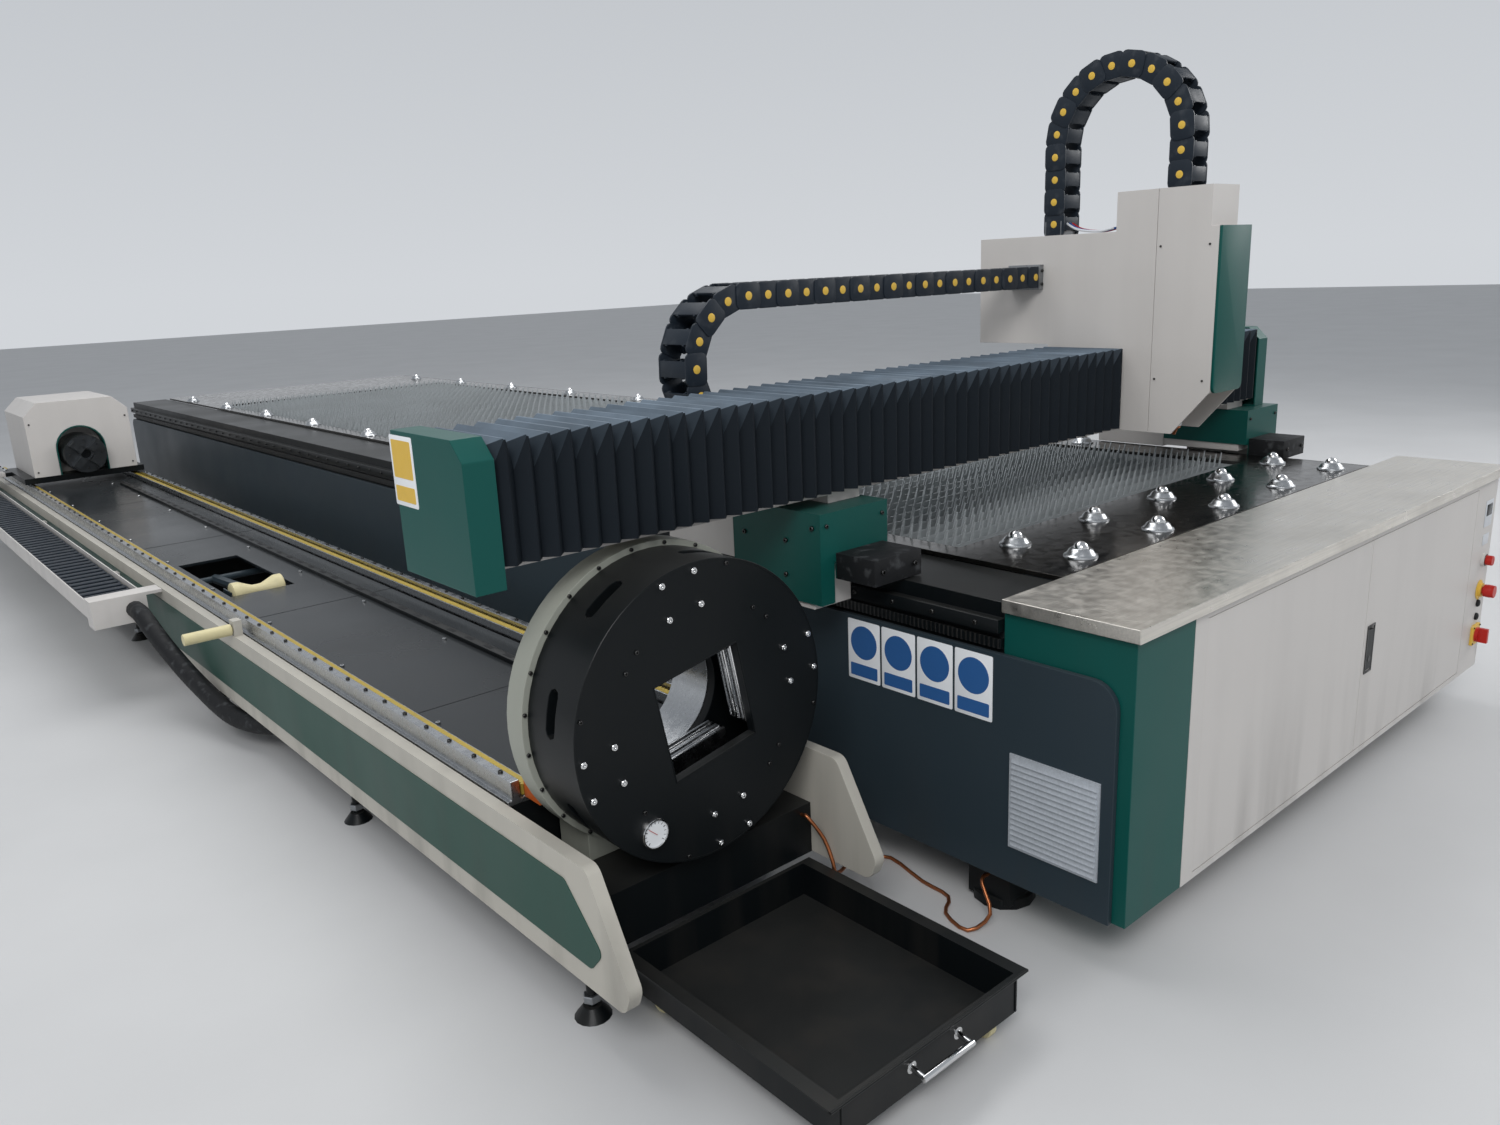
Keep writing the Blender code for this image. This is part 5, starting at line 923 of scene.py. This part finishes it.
def make_dial():
    """The dial on the disc's front: bezel, white face, thirteen marks and a red hand."""
    shape = Shape()
    x, z = -0.735, 0.394
    bezel = [(0.0, 0.033), (0.011, 0.033), (0.0135, 0.0315), (0.0135, 0.029), (0.0095, 0.0287), (0.0095, 0.0)]
    shape.turned((x, CHUCK_FRONT, z), FRONT, bezel, 40)
    face = [(0, 0.0285), (0.0006, 0.0285), (0.0006, 0.0)]
    shape.turned((x, CHUCK_FRONT - 0.0094, z), FRONT, face, 40, slot=1)
    mark, hand = ((0.0105, 0.0215), (0.0098, 0.0265), 2), ((0.0112, -0.005), (0.0106, 0.0215), 3)
    strokes = [(-135 + 22.5 * index, 0.0008 if index % 3 else 0.0014, mark) for index in range(13)]
    middle = Matrix.Translation((x, CHUCK_FRONT, z))
    for angle, width, ((near, low), (far, high), slot) in [*strokes, (-48, 0.0012, hand)]:
        turn = middle @ Matrix.Rotation(math.radians(angle), 4, "Y")
        shape.box((-width / 2, -near, low), (width / 2, -far, high), turn=turn, slot=slot)
    shape.make("pressure_dial", "chuck", ["chrome", "white_mark", "black_rubber", "red_plastic"])


def screw_circle(shape, radius, y, count, size, shift=0.0):
    """Screws in a circle about the tube's axis, facing the front."""
    for index in range(count):
        angle = math.tau * (index + shift) / count
        shape.screw((TUBE_X + radius * math.cos(angle), y, TUBE_Z + radius * math.sin(angle)), FRONT, size)


def make_housing_screws():
    shape = Shape()
    screw_circle(shape, 0.3285, 0.8003, 24, 0.0045, 0.5)
    shape.make("housing_screws", "machine", ["dark_steel"])


def make_roller():
    """The waisted roller with its chamfered ends."""
    shape = Shape()
    half = 0.093
    profile = [(-half, 0.0), (-half, 0.041), (-half + 0.003, 0.0448), (-half * 0.72, 0.045)]
    profile += [(-half * 0.68, 0.0438), (-half * 0.18, 0.0232), (0.0, 0.0225)]
    profile += [(-along, radius) for along, radius in reversed(profile[:-1])]
    shape.turned((-0.67, 3.22, 0.40), RIGHT, profile, 40)
    finishes, nodes = ["cream_plastic"], ["support_roller"]
    shape.make("waisted_roller_skin", "waisted_roller", finishes, nodes, 50, "cream_plastic")


def make_drawer_details():
    """Rolled edge, corner seams and handle of the scrap drawer."""
    shape = Shape()
    left, right, edge_y, edge_z, grip = -0.825, -0.277, 0.047, 0.137, (0.020, 0.100)
    shape.rod((left, edge_y, edge_z), (right, edge_y, edge_z), 0.0036, 10)
    for x in (-0.794, -0.308):
        shape.rod((x, 0.0508, 0.058), (x, 0.0508, 0.133), 0.0014, 8)
    shape.rod((-0.6215, *grip), (-0.4805, *grip), 0.0066, 16, slot=1, bevel=0.001)
    foot = [(0, 0.012), (0.0018, 0.012), (0.0022, 0.010), (0.0022, 0.0)]
    for x in (-0.616, -0.486):
        shape.turned((x, 0.0521, 0.105), FRONT, foot, 20, slot=1)
        shape.rod((x, 0.0515, 0.1048), (x, *grip), 0.0064, 16, slot=1)
    shape.make("drawer_details", "drawer", ["black_paint", "chrome"])


def make_castors():
    """Tyres and hubs of the drawer's four castors."""
    tyre = [(-0.0105, 0.0178), (-0.0105, 0.0225), (-0.008, 0.0248)]
    hub = [(-0.0108, 0.0), (-0.0108, 0.0075), (-0.006, 0.009), (-0.006, 0.0172), (-0.0098, 0.0182)]
    for row, y in (("front", 0.097), ("rear", 0.607)):
        for side, x in (("left", -0.755), ("right", -0.347)):
            shape = Shape()
            for slot, half in enumerate((tyre, hub)):
                profile = half + [(-along, radius) for along, radius in reversed(half)]
                shape.turned((x, y, 0.025), RIGHT, profile, 32, slot=slot)
            name, finishes = f"{row}_{side}", ["cream_plastic", "pale_plastic"]
            shape.make("castor_" + name, "wheel_" + name, finishes, ["drawer_wheel_" + name])


# Gantry, head and tail


def make_gantry_details():
    """Screws and bumpers of the carriage covers."""
    shape = Shape()
    cover_face, cover_front, bumper_front = -0.15, 0.72, 0.5965
    for side in (0, 1):
        place = bed_side(side)
        for y, z in ((0.985, 0.859), (0.836, 0.859), (0.838, 0.775), (0.985, 0.745), (0.745, 0.90)):
            shape.screw((place(cover_face), y, z), (LEFT, RIGHT)[side])
        for x in (-0.13, 0.06):
            shape.screw((place(x), cover_front, 0.905), FRONT, 0.005)
        low, high = sorted((place(-0.1008), place(0.0608)))
        shape.box((low, bumper_front, 0.7732), (high, 0.7197, 0.8358), slot=1, bevel=0.0015)
        for x in (-0.075, 0.035):
            shape.screw((place(x), bumper_front, 0.805), FRONT)
    shape.make("gantry_screws", "gantry", ["dark_steel", "black_rubber"])


def make_cap_plate():
    """A bare white plate with two yellow fields on the left beam cap."""
    shape = Shape()
    plate = rounded(rectangle(0.956, 1.064, 1.0555, 1.204), 0.004)
    shape.prism("X", -1.0012, -0.9999, plate, bevel=0.0004)
    for low, high in ((1.073, 1.104), (1.120, 1.195)):
        block = rounded(rectangle(0.964, low, 1.0475, high), 0.003)
        shape.prism("X", -1.0017, -1.0010, block, slot=1)
    shape.make("cap_plate", "gantry", ["white_mark", "yellow_plastic"])


def make_head_details():
    """Green front of the lifting cover, screws and the nozzle."""
    shape = Shape()
    left, right, low, high, over = 1.2, 1.372, 1.0842, 1.5489, 0.0008
    corners = rectangle(left - over, low, right + over, high)
    outline = [point for point in rounded(corners, 0.02) if point[1] < 1.3] + corners[2:]
    shape.prism("Y", 0.4778, 0.4868, outline, bevel=0.0012)
    shape.make("lift_front", "lift", ["green_paint"], slot="teal_green_paint")
    shape = Shape()
    for z in (1.12, 1.50):
        for x, facing in ((left, LEFT), (right, RIGHT)):
            for y in (0.512, 0.66):
                shape.screw((x, y, z), facing, 0.0032)
    shape.make("lift_screws", "lift", ["dark_steel"])
    shape = Shape()
    nozzle = [(0.0, 0.0035), (0.001, 0.0045), (0.016, 0.0105), (0.022, 0.0180), (0.028, 0.0180), (0.028, 0.0)]
    ceramic = [(0.0, 0.0), (0.0, 0.0195), (0.004, 0.0215), (0.016, 0.0215), (0.018, 0.0195), (0.018, 0.0)]
    collar = [(0.0, 0.0), (0.0, 0.0285), (0.003, 0.030), (0.030, 0.030), (0.033, 0.0285), (0.033, 0.0)]
    turned = ((0.9448, nozzle, 28), (0.9725, ceramic, 28), (1.02, collar, 32))
    for slot, (z, profile, steps) in enumerate(turned):
        shape.turned((1.286, 0.635, z), UP, profile, steps, slot=slot)
    shape.make("nozzle", "lift", ["copper", "white_mark", "ground_steel"])


def make_tail_details():
    """Green lining of the tail's arch, cover screws, and the cover of the arm over the tray."""
    shape = Shape()
    radius, top, front, foot = 0.13, TUBE_Z + 0.03, 6.52, 0.4905
    outline = []
    for way, reach in ((1, radius - 0.0004), (-1, radius - 0.007)):
        angles = [math.pi * step / 24 for step in range(25)][::way]
        arch = [(TUBE_X + reach * math.cos(a), top + reach * math.sin(a)) for a in angles]
        outline += [(TUBE_X + way * reach, foot), *arch, (TUBE_X - way * reach, foot)]
    shape.prism("Y", front - 0.004, front + 0.1, outline)
    for x in (-0.82, -0.32):
        for z in (0.52, 0.80):
            shape.screw((x, front, z), FRONT, 0.005, slot=1)
    shape.make("tail_lining", "tail", ["green_paint", "dark_steel"])
    shape = Shape()
    for right, high in ((-0.93, 0.4908), (-1.0042, 0.6008)):
        shape.box((-1.1558, 6.9492, 0.4645), (right, 7.0508, high), bevel=0.0015)
    shape.make("tail_arm_cover", "tail", ["white_paint"])
    shape = Shape()
    screw_circle(shape, 0.085, TAIL_CHUCK_FRONT, 8, 0.0055)
    ring = [(0.0, 0.1105), (-0.001, 0.1112), (0.012, 0.1112), (0.013, 0.1105)]
    shape.turned((TUBE_X, TAIL_CHUCK_FRONT + 0.01, TUBE_Z), REAR, ring, 48, slot=1)
    shape.make("tail_chuck_details", "tail_spindle", ["dark_steel", "black_paint"])


# Stage


EYE = (-2.4075, -4.9255, 1.485)
CAMERA_TURNS = (40.69, 14.75, -2.56)
FOCAL_SHARE = 1109.94 / 1500


def make_stage(settings):
    """Pale floor, soft sky, three panels of light and the camera."""
    size = settings.floor_size
    mesh = bpy.data.meshes.new("floor")
    corners = [(-size, -size, 0.0), (size, -size, 0.0), (size, size, 0.0), (-size, size, 0.0)]
    mesh.from_pydata(corners, [], [(0, 1, 2, 3)])
    floor = bpy.data.objects.new("floor", mesh)
    bpy.context.scene.collection.objects.link(floor)
    finish = bpy.data.materials.new("floor_finish")
    finish.use_nodes = True
    tree = finish.node_tree
    where = add_node(tree, "ShaderNodeTexCoord").outputs["Object"]
    clouds, tone = noise(tree, where, 1.3, 6.0), settings.floor_tone
    tone = spread(tree, clouds, 0.3, 0.7, tone - 0.02, tone + 0.02)
    shader = tree.nodes["Principled BSDF"]
    tree.links.new(tone, shader.inputs["Base Color"])
    shader.inputs["Roughness"].default_value = 0.55
    mesh.materials.append(finish)

    world = bpy.data.worlds.new("studio")
    world.use_nodes = True
    tree = world.node_tree
    light = tree.nodes["Background"]
    where = add_node(tree, "ShaderNodeTexCoord").outputs["Generated"]
    height = spread(tree, height_of(tree, where), 0.0, 0.6, 0.0, 1.0)
    shade = mixed(tree, height, (0.80, 0.83, 0.87, 1.0), (0.50, 0.53, 0.57, 1.0))
    tree.links.new(shade, light.inputs["Color"])
    light.inputs["Strength"].default_value = settings.sky_power
    bpy.context.scene.world = world

    for name, place, target, width, length, power in (
        ("key", (-5.5, -7.5, 6.5), (-0.3, -1.5, 0.6), 4.5, 3.0, settings.key_power),
        ("overhead", (0.5, 0.5, 6.5), (0.2, 0.4, 0.5), 4.0, 8.0, settings.key_power * 0.8),
        ("fill", (6.5, -5.5, 4.0), (0.8, -2.0, 0.7), 4.0, 3.0, settings.key_power * 0.45),
    ):
        lamp = bpy.data.lights.new(name, "AREA")
        lamp.shape = "RECTANGLE"
        lamp.size, lamp.size_y, lamp.energy = width, length, power
        held = bpy.data.objects.new(name, lamp)
        held.location = place
        held.rotation_euler = (Vector(target) - Vector(place)).to_track_quat("-Z", "Y").to_euler()
        bpy.context.scene.collection.objects.link(held)

    yaw, pitch, roll = (math.radians(angle) for angle in CAMERA_TURNS)
    ahead = Vector((math.sin(yaw) * math.cos(pitch), math.cos(yaw) * math.cos(pitch), -math.sin(pitch)))
    right = Vector((math.cos(yaw), -math.sin(yaw), 0.0))
    up = right.cross(ahead)
    across = math.cos(roll) * right + math.sin(roll) * up
    upward = -math.sin(roll) * right + math.cos(roll) * up
    lens = bpy.data.cameras.new("camera")
    lens.sensor_fit = "HORIZONTAL"
    lens.sensor_width = 36.0
    lens.lens = FOCAL_SHARE * lens.sensor_width
    lens.clip_end = 200.0
    camera = bpy.data.objects.new("camera", lens)
    turn = Matrix((across, upward, -ahead)).transposed().to_4x4()
    camera.matrix_world = Matrix.Translation(EYE) @ turn
    bpy.context.scene.collection.objects.link(camera)
    bpy.context.scene.camera = camera
    bpy.context.scene.view_settings.view_transform = "Standard"


# The add-on


LENGTH = {"unit": "LENGTH"}
SHARE = {"subtype": "FACTOR"}


class StageSettings(bpy.types.PropertyGroup):
    """Floor and light of the studio."""

    floor_size: FloatProperty(name="Floor size", description="Half the floor's width", default=40.0, **LENGTH)
    floor_tone: FloatProperty(name="Floor tone", description="How pale the floor is", default=0.55, **SHARE)
    sky_power: FloatProperty(name="Sky power", description="Soft light from all round", default=0.8)
    key_power: FloatProperty(name="Key power", description="Main panel's light", default=380.0, unit="POWER")


class FinishSettings(bpy.types.PropertyGroup):
    """Finishes and edges of all surfaces."""

    # Wear also sets the light painted on the tops of the bellows
    wear: FloatProperty(name="Wear", description="Share of dust, grime and patches", default=1.0, **SHARE)
    edge: FloatProperty(name="Edge", description="Width of the rounded edges", default=0.0022, **LENGTH)


class CoverSettings(bpy.types.PropertyGroup):
    """Bellows and slats."""

    pleat_pitch: FloatProperty(name="Pleat pitch", description="Width of a pleat", default=0.046, **LENGTH)
    pleat_depth: FloatProperty(name="Pleat depth", description="Depth of a valley", default=0.022, **LENGTH)
    tooth_pitch: FloatProperty(name="Tooth pitch", description="Width of a tooth", default=0.038, **LENGTH)
    tooth_depth: FloatProperty(name="Tooth depth", description="Height of a tooth", default=0.046, **LENGTH)


class Piece(bpy.types.Operator):
    """Base of the operators below."""

    bl_options = {"UNDO"}

    def execute(self, context):
        self.make(context.scene)
        return {"FINISHED"}


class MACHINE_OT_stage(Piece):
    """Floor, light and camera"""

    bl_idname = "machine.stage"
    bl_label = "Stage"

    def make(self, scene):
        make_stage(scene.machine_stage)


class MACHINE_OT_finishes(Piece):
    """Procedural finishes, and rounded edges on the CAD solids"""

    bl_idname = "machine.finishes"
    bl_label = "Finishes"

    def make(self, scene):
        make_finishes(scene.machine_finish.wear)
        dress_nodes(scene.machine_finish.edge)


class MACHINE_OT_cords(Piece):
    """Earthing braid and supply hose"""

    bl_idname = "machine.cords"
    bl_label = "Cords"

    def make(self, scene):
        make_braid()
        make_hose()


class MACHINE_OT_bellows(Piece):
    """Pleated covers on both sides of the head"""

    bl_idname = "machine.bellows"
    bl_label = "Bellows"

    def make(self, scene):
        how = (scene.machine_cover.pleat_pitch, scene.machine_cover.pleat_depth)
        make_bellows("bellows_skin_left", -0.9347, 1.1997, True, "bellows_left", *how)
        make_bellows("bellows_skin_right", 1.3723, 2.0797, False, "bellows_right", *how)


class MACHINE_OT_chains(Piece):
    """Energy chains link by link, with their end brackets and wires"""

    bl_idname = "machine.chains"
    bl_label = "Energy chains"

    def make(self, scene):
        make_chains()
        make_chain_ends()


class MACHINE_OT_table(Piece):
    """Slats with teeth and the ball transfer units"""

    bl_idname = "machine.table"
    bl_label = "Table"

    def make(self, scene):
        make_slats(scene.machine_cover.tooth_pitch, scene.machine_cover.tooth_depth)
        make_ball_units()


class MACHINE_OT_flat_bed(Piece):
    """Guide rails, cabinet details, controls and plates"""

    bl_idname = "machine.flat_bed"
    bl_label = "Flat bed"

    def make(self, scene):
        make_guides()
        make_cabinet_details()
        make_controls()
        make_signs()


class MACHINE_OT_tube_bed(Piece):
    """Rails, chuck, rollers and scrap drawer of the tube bed"""

    bl_idname = "machine.tube_bed"
    bl_label = "Tube bed"

    def make(self, scene):
        for step in (make_tube_rails, make_deck_details, make_foot_nuts, make_chuck_details, make_jaw_rods):
            step()
        for step in (make_dial, make_housing_screws, make_roller, make_drawer_details, make_castors):
            step()


class MACHINE_OT_gantry(Piece):
    """Details of the gantry, the head and the tail carriage"""

    bl_idname = "machine.gantry"
    bl_label = "Gantry, head and tail"

    def make(self, scene):
        make_gantry_details()
        make_cap_plate()
        make_head_details()
        make_tail_details()


OPERATORS = (
    MACHINE_OT_stage,
    MACHINE_OT_finishes,
    MACHINE_OT_cords,
    MACHINE_OT_bellows,
    MACHINE_OT_chains,
    MACHINE_OT_table,
    MACHINE_OT_flat_bed,
    MACHINE_OT_tube_bed,
    MACHINE_OT_gantry,
)


class MACHINE_PT_panel(bpy.types.Panel):
    """All pieces and their settings"""

    bl_label = "Laser cutting machine"
    bl_idname = "MACHINE_PT_panel"
    bl_space_type = "VIEW_3D"
    bl_region_type = "UI"
    bl_category = "Machine"

    def draw(self, context):
        for group in ("machine_stage", "machine_finish", "machine_cover"):
            settings = getattr(context.scene, group)
            for name in settings.bl_rna.properties.keys():
                if name not in ("rna_type", "name"):
                    self.layout.prop(settings, name)
        for operator in OPERATORS:
            self.layout.operator(operator.bl_idname)


GROUPS = {"machine_stage": StageSettings, "machine_finish": FinishSettings, "machine_cover": CoverSettings}
CLASSES = (*GROUPS.values(), *OPERATORS, MACHINE_PT_panel)


def register():
    for item in CLASSES:
        bpy.utils.register_class(item)
    for name, group in GROUPS.items():
        setattr(bpy.types.Scene, name, PointerProperty(type=group))


def unregister():
    for name in GROUPS:
        delattr(bpy.types.Scene, name)
    for item in reversed(CLASSES):
        bpy.utils.unregister_class(item)


def main():
    register()
    for operator in OPERATORS:
        name = operator.bl_idname.split(".")[1]
        if getattr(bpy.ops.machine, name)() != {"FINISHED"}:
            raise RuntimeError(f"{operator.bl_label} did not finish")


if __name__ == "__main__":
    main()
